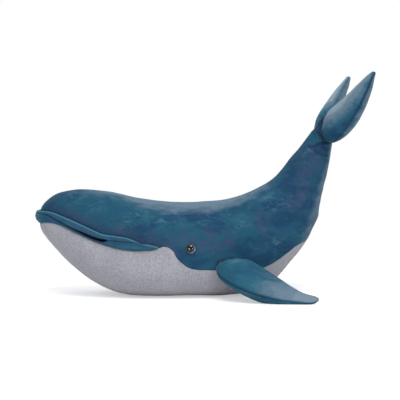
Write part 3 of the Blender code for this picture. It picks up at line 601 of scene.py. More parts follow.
def add_belly(material):
    """The grey skin under throat and belly, up to a point under the tail."""
    steps = ((2.0, FINE_ROW_STEP), (2.6, ROW_STEP)) + EYE_ROW_STEPS
    places = row_places(LIP_ROW_SHARES[1][2], CLOSED_STATION_SHARE - 0.03, steps)
    rows = []
    for place in places:
        start = float(seam(THROAT_SEAM_SHARES, place))
        half = even_turns(place, start, math.pi, BELLY_STEPS, False)
        rows.append(np.concatenate((half, 2 * math.pi - half[-2::-1])))

    def lift_of(points):
        lift = bumps(points, BELLY_BUMPS)
        for hand in HANDS:
            lip_seam = seam_path(THROAT_SEAM_SHARES, 0.9, CORNER_STATION_SHARE, hand)
            side_seam = seam_path(THROAT_SEAM_SHARES, CORNER_STATION_SHARE, CLOSED_STATION_SHARE, hand)
            lift += tucked(points, lip_seam, THROAT_TUCK) + tucked(points, side_seam, BELLY_TUCK)
        return lift

    return body_sheet("belly", places, np.array(rows), lift_of, material)


def lip_line(seam_shares, column, last_row):
    """The ends of the rows across a lip, on a disc round the nose: mouth line and seam, left to right."""
    rows = np.concatenate((np.linspace(0.0, 3.0, 70), np.linspace(3.0, last_row, 110)[1:]))
    ends = []
    for table, index in ((MOUTH_SHARES, 0), (seam_shares, column)):
        places = spline([row[index:index + 1] for row in LIP_ROW_SHARES], rows)[:, 0]
        places = np.maximum(places, 0.0)
        turn = seam(table, places)
        ends.append(np.stack((places * np.cos(turn), places * np.sin(turn)), axis=-1))
    mouth, edge = ends
    mouth[0] = 0.0
    edge[0, 1] = 0.0
    flip = np.array((1.0, -1.0))
    return [np.concatenate((line[::-1], line[1:] * flip)) for line in (mouth, edge)]


def from_table(table, reach):
    """The values of a table of (mm, value) at lengths, as a column."""
    places, values = np.array(table, float).T
    return np.interp(reach, places * MM, values)[:, None]


def quarter_round(share):
    """A rounded edge: the height, from 0 to 1, at shares of its radius."""
    return np.sqrt(1 - (1 - np.clip(share, 0.0, 1.0)) ** 2)


def add_lip(name, seam_shares, column, last_row, bulge, material):
    """A padded lip: a folded roll from one corner of the mouth round the nose to the other."""
    mouth, edge = lip_line(seam_shares, column, last_row)
    widths = lengths(disc_points(edge) - disc_points(mouth))[:, None]
    walk = walked(disc_points((mouth + edge) / 2))
    from_front = np.abs(walk - walk[-1] / 2)
    from_corner = np.minimum(walk, walk[-1] - walk)[:, None]
    parted = from_table(LIPS_PARTED_SHARES, from_front)
    front_roll = from_table(FRONT_ROLL_SHARES, from_front)
    front_folds = from_table(FRONT_FOLD_SHARES, from_front)
    slit = LIP_TOUCH + SLIT_HALF * parted
    across = np.concatenate((np.linspace(0.0, 0.2, 8), np.linspace(0.2, 0.8, 14)[1:],
                             np.linspace(0.8, 1.0, 8)[1:]))[None, :]
    gap = slit + (widths - slit) * across
    from_edge = widths - gap
    spots = mouth[:, None, :] + (edge - mouth)[:, None, :] * (gap / widths)[..., None]
    height = from_table(bulge, from_front) * MM
    height = height * quarter_round(np.maximum(from_corner / LIP_END_LENGTH, 0.02))
    radius = np.minimum(LIP_EDGE_RADIUS, widths * 0.45)
    mouth_roll = quarter_round((gap - slit) / radius)
    seam_roll = quarter_round(from_edge / (radius + (widths - radius) * front_roll))
    mouth_drop = LIP_CLOSED_DEPTH + (height + LIP_DEPTH - LIP_CLOSED_DEPTH) * parted
    lift = height * (1 - LIP_HOLLOW_SHARE * np.sin(math.pi * across) ** 2 * (1 - front_roll))
    lift -= mouth_drop * (1 - front_roll) * (1 - mouth_roll) + (height + LIP_SEAM_DEPTH) * (1 - seam_roll)
    folds = -np.cos(2 * math.pi * gap / FRONT_FOLD_PITCH) * front_folds
    ripple = np.sin(2 * math.pi * walk / (11 * MM)) * 0.12 + np.sin(2 * math.pi * walk / (7.3 * MM)) * 0.08
    lift += folds * FRONT_FOLD_DEPTH * seam_roll + (ripple * MM)[:, None] * mouth_roll * seam_roll
    place = np.hypot(spots[..., 0], spots[..., 1])
    turn = np.arctan2(spots[..., 1], spots[..., 0])
    bm = bmesh.new()
    outer = lifted(place, turn, lift)
    add_shell(bm, outer, lifted(place, turn, np.full(lift.shape, -LIP_INNER_DEPTH)))
    lip = make_piece(name, bm, material)
    paint_spots(lip)
    # Painted shade in the mouth's slit and in the valleys of the front folds.
    in_slit = (0.2 + 0.8 * parted) * np.exp(-((gap - slit) / (1.0 * MM)) ** 2) * (1 - front_roll)
    in_folds = 0.35 * ramp(-folds, 0.2, 1.0)
    # A painted highlight along the upper lip's seam edge and along the lower lip's mouth edge behind the upper
    # lip's end, over a teal tint that is stronger on the front roll.
    from_rim = from_edge if column == 1 else gap - slit
    behind = 1.0 if column == 1 else ramp(place, UPPER_LIP_END_SHARE, UPPER_LIP_END_SHARE + 0.2)
    rim = behind * np.exp(-((from_rim - RIM_WIDTH) / RIM_WIDTH) ** 2)
    rim = np.maximum(rim, 0.15 + 0.35 * front_roll)
    # The front roll also gets painted light.
    paint_near(lip, outer.reshape(-1, 3), dark=np.maximum(in_slit, in_folds).ravel(), rim=rim.ravel(),
               pale=np.broadcast_to(0.3 * front_roll, gap.shape).ravel())
    return lip


def disc_points(spots):
    """The points of the body's surface for spots on a disc round the nose."""
    return on_body(np.hypot(spots[..., 0], spots[..., 1]), np.arctan2(spots[..., 1], spots[..., 0]))


class Limb:
    """A flat stuffed limb: its hinge line, its plane, its outline and its thickness."""

    def __init__(self, origin, along, span, normal, sizes, root_shares, row_shares, fullness):
        self.origin, self.along, self.span, self.normal = origin, along, span, normal
        self.length, self.reach, self.thickness = sizes
        self.root_shares, self.row_shares = root_shares, row_shares
        self.fullness = fullness

    def place(self, x, d, n):
        x, d, n = (np.asarray(value, float)[..., None] for value in (x, d, n))
        return self.origin + self.along * x + self.span * d + self.normal * n


def limb_surface(limb):
    """The points round a limb, row by row from its root to its tip."""
    start, end = (share * limb.length for share in limb.root_shares)
    rows = [(start, -ROOT_DEPTH, end, -ROOT_DEPTH, ROOT_RADIUS * 0.8), (start, 0.0, end, 0.0, ROOT_RADIUS)]
    for front_x, front_d, rear_x, rear_d, thick in limb.row_shares:
        rows.append((front_x * limb.length, front_d * limb.reach, rear_x * limb.length,
                     rear_d * limb.reach, thick * limb.thickness / 2))
    last = len(rows) - 1
    rows[last] = rows[last][:4] + (rows[last - 1][4] * TIP_THICKNESS_SHARE,)
    place = np.concatenate((np.linspace(0, last - 1, LIMB_STEPS_A_ROW * (last - 1) + 1),
                            last - 1 + np.sin(np.linspace(0, math.pi / 2, LIMB_STEPS_A_ROW + 4))[1:-1]))
    values = spline(rows, place)
    round_off = np.sqrt(1 - np.clip(place - (last - 1), 0.0, 1.0) ** 2)
    front, rear = values[:, 0:2], values[:, 2:4]
    middle, half_chord = (front + rear) / 2, (front - rear) / 2 * round_off[:, None]
    half = values[:, 4] * round_off
    angle = np.linspace(0.0, 2 * math.pi, LIMB_STEPS_ROUND, endpoint=False)
    flat = middle[:, None, :] + half_chord[:, None, :] * np.cos(angle)[None, :, None]
    thick = half[:, None] * np.sin(angle)[None, :]
    return place, angle, flat, thick


def limb_points(limb):
    """The plain shape of a limb, as rows of points."""
    _, _, flat, thick = limb_surface(limb)
    return limb.place(flat[..., 0], flat[..., 1], thick)


def flipper_limb(hand):
    """A flipper that droops from its hinge: the left one rests on the floor, the right one stands off it."""
    side = {1: "left", -1: "right"}[hand]
    joint = joint_named("flipper_%s_lift" % side)
    origin = np.array(joint["pos_m"])
    along = -hand * np.array(joint["axis"])
    along /= np.linalg.norm(along)
    out = np.cross(UP, along) * -hand

    def limb_at(droop):
        span = out * math.cos(droop) - UP * math.sin(droop)
        normal = out * math.sin(droop) + UP * math.cos(droop)
        return Limb(origin, along, span, normal, (FLIPPER_LENGTH, FLIPPER_SPAN, FLIPPER_THICKNESS),
                    FLIPPER_ROOT_SHARES, FLIPPER_ROW_SHARES, FLIPPER_FULLNESS_SHARES)

    low, high = 0.0, math.pi / 2
    for _ in range(24):
        middle = (low + high) / 2
        above = limb_points(limb_at(middle))[..., 2].min() > 0
        low, high = (middle, high) if above else (low, middle)
    return limb_at(low if hand > 0 else low - math.radians(FAR_FLIPPER_LIFT_DEG))


def fluke_limb(hand):
    """A fluke in the plane of the tail's end, hinged beside it."""
    side = {1: "left", -1: "right"}[hand]
    joint = joint_named("fluke_%s_fold" % side)
    along = np.array(joint["axis"])
    along = along * np.sign(along[2])
    out = np.array((0.0, -hand, 0.0))
    dorsal = np.array((-along[2], 0.0, along[0]))
    fold = math.radians(FLUKE_FOLD_DEG)
    span = out * math.cos(fold) - dorsal * math.sin(fold)
    normal = dorsal * math.cos(fold) + out * math.sin(fold)
    return Limb(np.array(joint["pos_m"]), along, span, normal, (FLUKE_SWEEP, FLUKE_SPAN, FLUKE_THICKNESS),
                FLUKE_ROOT_SHARES, FLUKE_ROW_SHARES, FLUKE_FULLNESS_SHARES[hand])


def joint_named(name):
    """A joint of the frame."""
    return next(joint for joint in frame["joints"] if joint["name"] == name)


def add_limb(name, limb, looks, material):
    """A stuffed limb with its sewn seam along the outline, puckers at its root and a blunt tip."""
    place, angle, flat, thick = limb_surface(limb)
    count = len(place)
    front, rear, edge = (np.interp(place, range(len(limb.fullness)), column)[:, None]
                         for column in zip(*limb.fullness))
    lead = ((1 + np.cos(angle)) / 2)[None, :]
    thick = thick * np.where(thick > 0, front, rear + edge * lead)
    centre = flat.mean(axis=1, keepdims=True)
    plain = limb.place(flat[..., 0], flat[..., 1], thick)
    outward = plain - limb.place(centre[..., 0], centre[..., 1], np.zeros(centre.shape[:2]))
    outward /= np.linalg.norm(outward, axis=-1, keepdims=True) + SMALL
    points = plain.reshape(-1, 3)
    rows = np.repeat(place, LIMB_STEPS_ROUND)
    turns = np.tile(angle, count)
    pale, seam_share, teal = looks(rows, turns)
    lift = bumps(points, LIMB_BUMPS)
    reach = 1.1 if name.startswith("fluke") else 0.7
    pucker = np.sin(turns * ROOT_PUCKERS + rows * 0.8) * bell(rows - 1.7, reach)
    # Painted shade in the valleys of the root puckers, less where the limb has strong painted light.
    dark = 0.75 * ramp(-pucker, 0.1, 0.9) * (1 - ramp(pale, 0.3, 0.6))
    for column in (0, LIMB_STEPS_ROUND // 2):
        path = plain[LIMB_STEPS_A_ROW:count - 2:2, column]
        near, _ = nearest(points, path)
        lift += tucked(points, path, LIMB_TUCK) * (0.3 + 0.7 * seam_share)
        lift += 0.3 * MM * bell(near - 4.2 * MM, 1.8 * MM)
        # Painted shade in the seam's groove.
        dark = np.maximum(dark, 0.85 * seam_share * bell(near, 1.6 * MM))
    lift += PUCKER_DEPTH * pucker
    half = np.repeat(np.abs(thick).max(axis=1), LIMB_STEPS_ROUND)
    lift *= np.clip(rows - 0.6, 0.0, 1.0) * np.clip(half / (6 * MM), 0.0, 1.0)
    # Painted shade at the root, where the limb meets the body.
    dark = np.maximum(dark, 0.9 * bell(rows - 1.0, 0.4))
    shaped = plain + outward * lift.reshape(count, -1)[..., None]
    shaped[..., 2] = np.maximum(shaped[..., 2], 0.0)
    bm = bmesh.new()
    add_tube(bm, shaped)
    piece = make_piece(name, bm, material)
    paint_spots(piece)
    paint_near(piece, shaped.reshape(-1, 3), dark=dark, pale=pale, rim=teal)
    return piece


def flipper_looks(rows, turns):
    """How much painted light, how creased along its seam and how teal: a painted sheen on top of the outer half, a
    painted highlight on the shoulder and painted bounce light on the under side.
    """
    outer = 0.93 * ramp(rows, 3.8, 6.8) * ramp(np.sin(turns), 0.0, 0.4)
    shoulder = 0.32 * np.exp(-((rows - 2.8) / 0.6) ** 2) * ramp(np.sin(turns), 0.3, 0.9)
    pale = np.where(np.sin(turns) < 0, 0.28, np.maximum(outer, shoulder))
    return pale, ramp(rows, 1.8, 3.0) * (1 - 0.75 * ramp(rows, 5.0, 6.5)), np.full(len(rows), 0.2)


def left_fluke_looks(rows, turns):
    """Painted sheen on the front, strongest at the far edge, then teal, and deep blue painted shade along the
    seam; more painted sheen again on the rear side.
    """
    far_edge = math.radians(150)
    across = (1 - np.cos(np.minimum(turns, far_edge) - far_edge)) / (1 - math.cos(far_edge))
    outer = ramp(rows, 4.5, 6.5)
    low = np.interp(across, (0.0, 0.2, 0.35, 0.5, 0.65), (1.0, 0.94, 0.60, 0.38, 0.1))
    high = np.interp(across, (0.0, 0.2, 0.4, 0.6, 0.8, 1.0), (1.0, 0.86, 0.60, 0.43, 0.34, 0.1))
    front = low + (high - low) * outer
    rear = 0.30 + 0.45 * ramp(-np.sin(turns), 0.0, 0.8)
    teal = 0.35 * ramp(across, 0.1, 0.4) * (1 - ramp(across, 0.5 + 0.3 * outer, 0.7 + 0.3 * outer))
    on_front = np.sin(turns) > 0
    pale = np.where(on_front, front, rear) * ramp(rows, 1.2, 1.8)
    return pale, ramp(rows, 2.2, 4.0), np.where(on_front, teal, 0.2)


def right_fluke_looks(rows, turns):
    """Painted sheen all over the front, down to the teal gathers at the root; the rear side as on the left fluke.
    """
    rear = 0.30 + 0.45 * ramp(-np.sin(turns), 0.0, 0.8)
    side = np.where(np.sin(turns) > 0, 0.6 + 0.4 * ramp(np.sin(turns), 0.0, 0.3), rear)
    pale = side * ramp(rows, 1.7, 4.0) * (1 - 0.5 * ramp(rows, 8.0, 9.0))
    return pale, 0.35 * ramp(rows, 2.2, 4.0), 0.6 * (1 - ramp(rows, 3.0, 4.5))


def paint_spots(piece):
    """Where the plush is violet or brushed light, for the material's noise to break up, with a violet painted
    shade along the upper lip seam.
    """
    points = points_of(piece.data)
    violet, light = (around(points, [spot_at(*spot, hand) for spot in spots for hand in HANDS], radius * MM)
                     for spots, radius in ((VIOLET_SPOTS, 11), (LIGHT_SPOTS, 12)))
    # Painted shade: a violet band along the seam above the upper lip and on past the mouth's corner, where the
    # skin folds in.
    for hand in HANDS:
        near, _ = nearest(points, seam_path(SIDE_SEAM_SHARES, 2.6, 7.4, hand))
        violet = np.maximum(violet, 0.85 * bell(near, 12 * MM))
    paint(piece, "violet", violet)
    paint(piece, "light", light)


def paint_skin(piece):
    """Painted light and painted shade on the upper skin: a lighter sheen where it faces up or backwards, and
    painted shade in its creases, along the upper lip seam, on the sides of the tail and against the limbs.
    """
    points = points_of(piece.data)
    facing = points_of(piece.data, "normal")
    # Painted light: a lighter sheen where the skin faces up, weaker at the front of the head, and where it faces
    # backwards, towards the tail's end.
    head = ramp(points[:, 0], -185 * MM, -110 * MM)
    pale = 0.9 * ramp(facing[:, 2], 0.74, 1.0) * (0.4 + 0.6 * head)
    paint(piece, "pale", np.maximum(pale, 0.60 * ramp(facing[:, 0], 0.50, 0.86)))
    shades = []
    for hand in HANDS:
        # Painted shade in the tail's creases.
        for spots, width, depth in TAIL_CREASES:
            near, _ = nearest(points, body_path(spots, hand))
            shades.append(min(0.95, depth / 2.0) * bell(near, 1.3 * width * MM))
        # Painted shade along the upper lip seam: a narrow line and a broad band.
        near, _ = nearest(points, seam_path(SIDE_SEAM_SHARES, 0.3, 6.8, hand))
        shades += [0.55 * bell(near, 3.2 * MM), 0.40 * bell(near, 20 * MM)]
        # A broad painted shade on each side of the tail.
        shades.append(0.20 * around(points, [spot_at(14.9, 0.46, hand)], 42 * MM))
    # Painted contact shadow on the skin against the roots of the flippers and flukes.
    for limb_name, limb in limbs.items():
        reach = (5.0 if limb_name.startswith("fluke") else 3.2) * MM
        roots = tree_of(limb_points(limb)[:ROOT_ROWS].reshape(-1, 3))
        gap = np.array([roots.find(point)[2] for point in points])
        shades.append(0.75 * bell(gap, reach))
    paint(piece, "dark", np.max(shades, axis=0))


def eye_frame(hand):
    """The frame of an eye: its z is the outward direction of the skin there."""
    place, turn = np.array(EYE_STATION_SHARE), np.array(hand * math.pi * EYE_TURN_SHARE)
    turned = Vector(body_normal(place, turn)).to_track_quat("Z", "Y").to_matrix().to_4x4()
    return Matrix.Translation(on_body(place, turn)) @ turned


def add_turned(name, profile, placing, material):
    """A closed turned piece from (radius, height) points that start and end on the axis."""
    turns = [2 * math.pi * j / EYE_STEPS for j in range(EYE_STEPS)]
    rings = [[placing @ Vector((radius * math.cos(turn), radius * math.sin(turn), height)) for turn in turns]
             for radius, height in profile[1:-1]]
    start, end = (placing @ Vector((0.0, 0.0, height)) for _, height in (profile[0], profile[-1]))
    bm = bmesh.new()
    add_tube(bm, rings, start, end)
    return make_piece(name, bm, material)


def add_eye(side, hand):
    """A safety eye: a clear dome over a painted back whose shank goes through the skin."""
    placing = eyes[hand]
    radius = EYE_DIAMETER / 2
    lens_radius = radius * LENS_SHARE
    base = EYE_BASE
    sunk = base - 0.4 * MM
    dome = [(0.0, sunk), (lens_radius, sunk), (lens_radius, base)]
    for k in range(1, DOME_STEPS):
        turn = math.pi / 2 * k / DOME_STEPS
        dome.append((lens_radius * math.cos(turn), base + 0.3 * MM + (EYE_DOME - 0.3 * MM) * math.sin(turn)))
    dome.append((0.0, base + EYE_DOME))
    lens = add_turned("eye_%s_lens" % side, dome, placing, eye_lens)
    floor = base - 0.15 * MM
    back = [(0.0, floor)] + [(radius * k / 20, floor) for k in range(1, 18)]
    back += [(radius * 0.90, floor + 0.1 * MM), (radius * 0.92, base + 0.7 * MM),
             (radius * 0.96, base + 0.8 * MM), (radius, base + 0.4 * MM), (radius, base - 1.0 * MM),
             (radius * 0.5, base - 1.2 * MM), (SHANK_RADIUS, base - 2.0 * MM), (SHANK_RADIUS, -11.0 * MM),
             (SHANK_RADIUS * 0.8, -12.0 * MM), (0.0, -12.0 * MM)]
    backing = add_turned("eye_%s_iris" % side, back, placing, eye_back)
    points = points_of(backing.data)
    local = (points - np.array(placing.translation)) @ np.array(placing.to_3x3())
    pupil = np.array(PUPIL_SHARES) * (hand, 1) * radius
    paint(backing, "radius", lengths(local[:, :2]) / radius)
    paint(backing, "pupil", lengths(local[:, :2] - pupil) / radius)
    for piece, node, slot in ((lens, "dome", "clear_eye_plastic"), (backing, "back", "black_eye_plastic")):
        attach(piece, "trunk")
        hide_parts("eye_%s_%s" % (side, node))


class Shader:
    """A material's nodes, added one by one."""

    def __init__(self, name):
        self.material = bpy.data.materials.new(name)
        self.material.use_nodes = True
        self.tree = self.material.node_tree
        self.surface = self.tree.nodes["Principled BSDF"]

    def node(self, kind, inputs, **settings):
        made = self.tree.nodes.new(kind)
        for name, value in settings.items():
            setattr(made, name, value)
        for key, value in inputs.items():
            self.feed(made.inputs[key], value)
        return made

    def feed(self, socket, value):
        if isinstance(value, bpy.types.NodeSocket):
            self.tree.links.new(value, socket)
        else:
            socket.default_value = value

    def attribute(self, name):
        made = self.node("ShaderNodeAttribute", {}, attribute_name=name)
        return made.outputs["Vector" if name == "place" else "Fac"]

    def stretch(self, vector, scale):
        return self.node("ShaderNodeVectorMath", {0: vector, 1: scale}, operation="MULTIPLY").outputs[0]

    def noise(self, vector, scale, detail=3.0, roughness=0.55, distortion=0.0):
        return self.node("ShaderNodeTexNoise", {"Vector": vector, "Scale": scale, "Detail": detail,
                                                "Roughness": roughness,
                                                "Distortion": distortion}).outputs["Fac"]

    def spread(self, value, low, high, out_low=0.0, out_high=1.0):
        return self.node("ShaderNodeMapRange", {"Value": value, "From Min": low, "From Max": high,
                                                "To Min": out_low, "To Max": out_high},
                         interpolation_type="SMOOTHSTEP").outputs["Result"]

    def math(self, operation, a, b):
        return self.node("ShaderNodeMath", {0: a, 1: b}, operation=operation).outputs[0]

    def mix(self, factor, a, b, blend="MIX"):
        made = self.node("ShaderNodeMix", {}, data_type="RGBA", blend_type=blend)
        for socket, value in zip([s for s in made.inputs if s.enabled], (factor, a, b)):
            self.feed(socket, value)
        return next(s for s in made.outputs if s.enabled)

    def bump(self, height, strength, distance, normal=None):
        inputs = {"Height": height, "Strength": strength, "Distance": distance}
        if normal is not None:
            inputs["Normal"] = normal
        return self.node("ShaderNodeBump", inputs).outputs["Normal"]

    def set(self, **inputs):
        for name, value in inputs.items():
            self.feed(self.surface.inputs[name.replace("_", " ")], value)


def plush_material():
    """Short blue plush: teal and navy where the pile lies differently, violet blotches, light brushed flecks, and
    painted sheen, highlights and shade from the pieces.
    """
    shader = Shader("blue_plush_pile")
    place = shader.attribute("place")
    drawn = shader.stretch(place, (0.75, 1.0, 1.35))
    broad = shader.spread(shader.noise(drawn, 17.0, 4.0, 0.6, 0.3), 0.40, 0.60)
    brushed = shader.spread(shader.noise(drawn, 45.0, 5.0, 0.62, 0.5), 0.44, 0.64)
    color = shader.mix(broad, (0.0085, 0.044, 0.098, 1.0), (0.011, 0.070, 0.120, 1.0))
    color = shader.mix(shader.math("MULTIPLY", brushed, 0.38), color, (0.020, 0.095, 0.150, 1.0))
    ragged = shader.noise(place, 110.0, 4.0, 0.7, 0.4)
    violet = shader.math("MULTIPLY", shader.attribute("violet"), shader.spread(ragged, 0.36, 0.58))
    color = shader.mix(shader.math("MULTIPLY", violet, 0.68), color, (0.046, 0.054, 0.118, 1.0))
    flecks = shader.spread(shader.noise(drawn, 120.0, 4.0, 0.7, 0.6), 0.46, 0.64)
    light = shader.math("MULTIPLY", shader.attribute("light"), flecks)
    stray = shader.spread(shader.noise(drawn, 64.0, 5.0, 0.7, 0.6), 0.58, 0.74, 0.0, 0.25)
    light = shader.math("ADD", light, stray)
    color = shader.mix(shader.math("MULTIPLY", light, 0.50), color, (0.072, 0.175, 0.235, 1.0))
    # Teal tint from the pieces, with a painted highlight along the lips' edges.
    color = shader.mix(shader.math("MULTIPLY", shader.attribute("rim"), 0.62), color,
                       (0.056, 0.220, 0.285, 1.0))
    # Painted light: a grey blue sheen, broken up by noise.
    patches = shader.math("MULTIPLY", shader.math("SUBTRACT", shader.noise(drawn, 60.0, 5.0, 0.65, 0.5), 0.5), 0.9)
    pale = shader.spread(shader.math("ADD", shader.attribute("pale"), patches), 0.20, 0.80, 0.0, 0.85)
    color = shader.mix(pale, color, (0.135, 0.198, 0.258, 1.0))
    # Painted highlight: the lightest grey blue, where the painted light is strongest.
    palest = shader.spread(shader.attribute("pale"), 0.88, 1.0, 0.0, 0.6)
    color = shader.mix(palest, color, (0.300, 0.365, 0.400, 1.0))
    # Painted shade in creases, seams, the mouth's slit and against the limbs.
    color = shader.mix(shader.math("MULTIPLY", shader.attribute("dark"), 0.85), color,
                       (0.010, 0.017, 0.045, 1.0))
    grain = shader.noise(place, 900.0, 2.0, 0.6)
    color = shader.mix(0.35, color, shader.mix(grain, (0.0, 0.0, 0.0, 1.0), (1.0, 1.0, 1.0, 1.0)), "OVERLAY")
    rough = shader.spread(brushed, 0.0, 1.0, 0.90, 0.80)
    pile = shader.bump(shader.noise(place, 620.0, 3.0, 0.7), 0.55, 0.5 * MM)
    brush = shader.bump(shader.noise(drawn, 110.0, 4.0, 0.6, 0.5), 0.4, 1.6 * MM, pile)
    shader.set(Base_Color=color, Roughness=rough, Normal=brush, Sheen_Weight=0.16, Sheen_Roughness=0.4,
               Sheen_Tint=(0.50, 0.78, 0.92, 1.0), Specular_IOR_Level=0.12)
    return shader.material


def boucle_material():
    """Grey boucle: small curled loops, with a little lilac, painted shade in the low pits and painted highlights
    on the raised loop tops.
    """
    shader = Shader("grey_boucle_pile")
    place = shader.attribute("place")
    loops = shader.node("ShaderNodeTexVoronoi", {"Vector": place, "Scale": 520.0, "Randomness": 1.0},
                        feature="SMOOTH_F1").outputs["Distance"]
    curls = shader.noise(place, 430.0, 3.0, 0.65, 1.5)
    broad = shader.noise(place, 30.0, 3.0, 0.5)
    color = shader.mix(shader.spread(broad, 0.35, 0.65), (0.290, 0.287, 0.323, 1.0), (0.328, 0.325, 0.357, 1.0))
    # Painted shade where the bump is low, in the pits between the loops.
    dark = shader.math("MULTIPLY", shader.spread(curls, 0.52, 0.40), 0.56)
    color = shader.mix(dark, color, (0.18, 0.18, 0.22, 1.0))
    # Painted highlight where the bump is high, on the loop tops.
    pale = shader.math("MULTIPLY", shader.spread(loops, 0.55, 0.10), 0.46)
    color = shader.mix(pale, color, (0.47, 0.47, 0.51, 1.0))
    height = shader.math("SUBTRACT", curls, shader.math("MULTIPLY", loops, 0.6))
    normal = shader.bump(height, 0.8, 0.9 * MM)
    shader.set(Base_Color=color, Roughness=0.95, Normal=normal, Sheen_Weight=0.25, Sheen_Roughness=0.6,
               Specular_IOR_Level=0.15)
    return shader.material


def eye_materials():
    """Clear plastic for the dome, and a black pupil in a grey blue ring for the back."""
    lens = Shader("clear_eye_dome")
    haze = lens.noise(lens.attribute("place"), 300.0)
    lens.set(Base_Color=(0.96, 0.97, 1.0, 1.0), Roughness=lens.spread(haze, 0.0, 1.0, 0.01, 0.04), IOR=1.49,
             Transmission_Weight=1.0)
    back = Shader("painted_eye_back")
    ring = back.math("MULTIPLY", back.spread(back.attribute("pupil"), 0.66, 0.74),
                     back.spread(back.attribute("radius"), 0.93, 0.98, 1.0, 0.0))
    fleck = back.noise(back.attribute("place"), 1500.0, 3.0)
    iris = back.mix(fleck, (0.10, 0.13, 0.18, 1.0), (0.24, 0.29, 0.38, 1.0))
    back.set(Base_Color=back.mix(ring, (0.002, 0.002, 0.004, 1.0), iris), Roughness=0.7, Specular_IOR_Level=0.05)
    washer = Shader("white_washer")
    washer.set(Base_Color=washer.mix(washer.noise(washer.attribute("place"), 200.0), (0.70, 0.70, 0.70, 1.0),
                                     (0.80, 0.80, 0.80, 1.0)), Roughness=0.5)
    return lens.material, back.material, washer.material


def add_floor():
    """A plain light grey floor that shows white to the camera and keeps the whale's shadow."""
    shader = Shader("pale_floor")
    shader.set(Base_Color=(0.86, 0.86, 0.86, 1.0), Roughness=0.9)
    glow = shader.node("ShaderNodeEmission", {"Color": (1.0, 1.0, 1.0, 1.0), "Strength": 0.42})
    near = shader.node("ShaderNodeAddShader", {0: shader.surface.outputs[0], 1: glow.outputs[0]})
    white = shader.node("ShaderNodeEmission", {"Color": (1.0, 1.0, 1.0, 1.0), "Strength": 1.0})
    spot = shader.node("ShaderNodeTexCoord", {}).outputs["Object"]
    away = shader.node("ShaderNodeVectorMath", {0: spot}, operation="LENGTH").outputs["Value"]
    added = shader.node("ShaderNodeMixShader", {0: shader.spread(away, 0.40, 0.75), 1: near.outputs[0],
                                                2: white.outputs[0]})
    seen = shader.node("ShaderNodeLightPath", {}).outputs["Is Camera Ray"]
    mixed = shader.node("ShaderNodeMixShader", {0: seen, 1: shader.surface.outputs[0], 2: added.outputs[0]})
    output = shader.tree.nodes["Material Output"]
    shader.feed(output.inputs["Surface"], mixed.outputs[0])
    size = 6.0
    mesh = bpy.data.meshes.new("floor")
    mesh.from_pydata([(-size, -size, -0.3 * MM), (size, -size, -0.3 * MM), (size, size, -0.3 * MM),
                      (-size, size, -0.3 * MM)], [], [(0, 1, 2, 3)])
    mesh.materials.append(shader.material)
    floor = bpy.data.objects.new("floor", mesh)
    bpy.context.scene.collection.objects.link(floor)


def add_light(name, place, target, size, watts):
    """A square soft box that points at a target."""
    data = bpy.data.lights.new(name, "AREA")
    data.shape = "SQUARE"
    data.size = size
    data.energy = watts
    lamp = add_object(name, data)
    lamp.location = place
    lamp.rotation_mode = "QUATERNION"
    lamp.rotation_quaternion = (Vector(target) - Vector(place)).to_track_quat("-Z", "Y")


def add_world():
    """A white studio: soft light from all round, white to the camera."""
    world = bpy.data.worlds.new("studio")
    world.use_nodes = True
    nodes, links = world.node_tree.nodes, world.node_tree.links
    background = nodes["Background"]
    background.inputs["Color"].default_value = (0.62, 0.64, 0.67, 1.0)
    background.inputs["Strength"].default_value = 0.77
    white = nodes.new("ShaderNodeBackground")
    white.inputs["Color"].default_value = (1.0, 1.0, 1.0, 1.0)
    white.inputs["Strength"].default_value = 1.0
    path = nodes.new("ShaderNodeLightPath")
    seen = nodes.new("ShaderNodeMath")
    seen.operation = "MAXIMUM"
    links.new(path.outputs["Is Camera Ray"], seen.inputs[0])
    links.new(path.outputs["Is Transmission Ray"], seen.inputs[1])
    mixed = nodes.new("ShaderNodeMixShader")
    links.new(seen.outputs[0], mixed.inputs[0])
    links.new(background.outputs[0], mixed.inputs[1])
    links.new(white.outputs[0], mixed.inputs[2])
    links.new(mixed.outputs[0], nodes["World Output"].inputs["Surface"])
    bpy.context.scene.world = world


def add_camera():
    """The camera at the photo's angle."""
    yaw, rise = math.radians(CAMERA_YAW_DEG), math.radians(CAMERA_RISE_DEG)
    back = Vector((math.sin(yaw) * math.cos(rise), -math.cos(yaw) * math.cos(rise), math.sin(rise)))
    data = bpy.data.cameras.new("camera")
    data.sensor_width = SENSOR
    data.lens = SENSOR * CAMERA_DISTANCE / (PIXEL * PICTURE_PIXELS)
    camera = bpy.data.objects.new("camera", data)
    camera.location = CAMERA_TARGET + back * CAMERA_DISTANCE
    camera.rotation_mode = "QUATERNION"
    camera.rotation_quaternion = (-back).to_track_quat("-Z", "Y")
    bpy.context.scene.collection.objects.link(camera)
    bpy.context.scene.camera = camera


nose_x = 0.0
tail_joint = np.array(joint_named("tail_bend")["pos_m"])
nose_x = tail_joint[0] - section_centre(TAIL_STATION_SHARE)[0]

plush = plush_material()
boucle = boucle_material()
eye_lens, eye_back, washer_plastic = eye_materials()

limbs = {}
for limb_side, limb_hand in (("left", 1), ("right", -1)):
    limbs["flipper_" + limb_side] = flipper_limb(limb_hand)
    limbs["fluke_" + limb_side] = fluke_limb(limb_hand)
eyes = {hand: eye_frame(hand) for hand in (1, -1)}

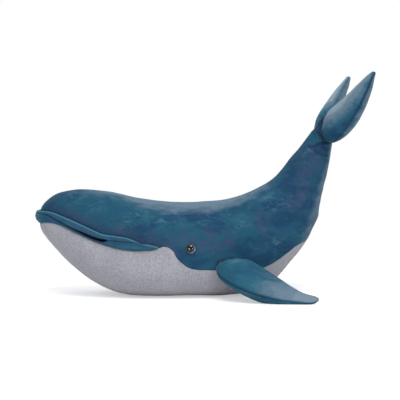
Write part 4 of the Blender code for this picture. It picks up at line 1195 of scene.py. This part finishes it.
body_skin = add_skin(plush)
belly_skin = add_belly(boucle)
tail_line = section_centre(TAIL_STATION_SHARE + 1) - section_centre(TAIL_STATION_SHARE - 1)
tail_line /= np.linalg.norm(tail_line)
for piece in (body_skin, belly_skin):
    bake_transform(piece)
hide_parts("side_panel_left", "side_panel_right", "tail_panel_left", "tail_panel_right",
            "head_stuffing", "body_stuffing", "tail_stuffing", "pellet_bag")
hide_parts("belly_panel")

upper = add_lip("upper_lip_roll", UPPER_LIP_SEAM_SHARES, 1, UPPER_LIP_LAST_ROW, UPPER_LIP_BULGE, plush)
lower = add_lip("lower_lip_roll", LOWER_LIP_SEAM_SHARES, 2, LOWER_LIP_LAST_ROW, LOWER_LIP_BULGE, plush)
for piece, node in ((upper, "upper_lip"), (lower, "lower_lip")):
    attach(piece, "trunk")
    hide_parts(node, node + "_filling")

for limb_name, limb in limbs.items():
    if limb_name.startswith("flipper"):
        made = add_limb(limb_name + "_plush", limb, flipper_looks, plush)
        parent, panels = "trunk", ("_top_panel", "_under_panel", "_stuffing")
    else:
        looks = left_fluke_looks if limb_name.endswith("left") else right_fluke_looks
        made = add_limb(limb_name + "_plush", limb, looks, plush)
        parent, panels = "tail", ("_front_panel", "_rear_panel", "_stuffing")
    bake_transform(made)
    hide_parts(*(limb_name + panel for panel in panels))

for eye_side, eye_hand in (("left", 1), ("right", -1)):
    add_eye(eye_side, eye_hand)
    washer = frame["nodes"]["eye_%s_washer" % eye_side]
    for material_slot in washer.material_slots:
        material_slot.material = washer_plastic

add_floor()
add_world()
add_light("top_front", (0.0, -1.1, 1.9), (0.0, 0.0, 0.12), 1.0, 22)
add_light("left", (-1.0, -1.8, 0.28), (0.0, 0.0, 0.12), 0.42, 7.0)
add_light("right", (0.8, -1.9, 0.62), (0.0, 0.0, 0.12), 0.42, 8.5)
add_light("top_back", (0.2, 0.6, 2.2), (0.0, 0.0, 0.1), 1.5, 9)
add_camera()

bpy.context.scene.view_settings.view_transform = "Standard"
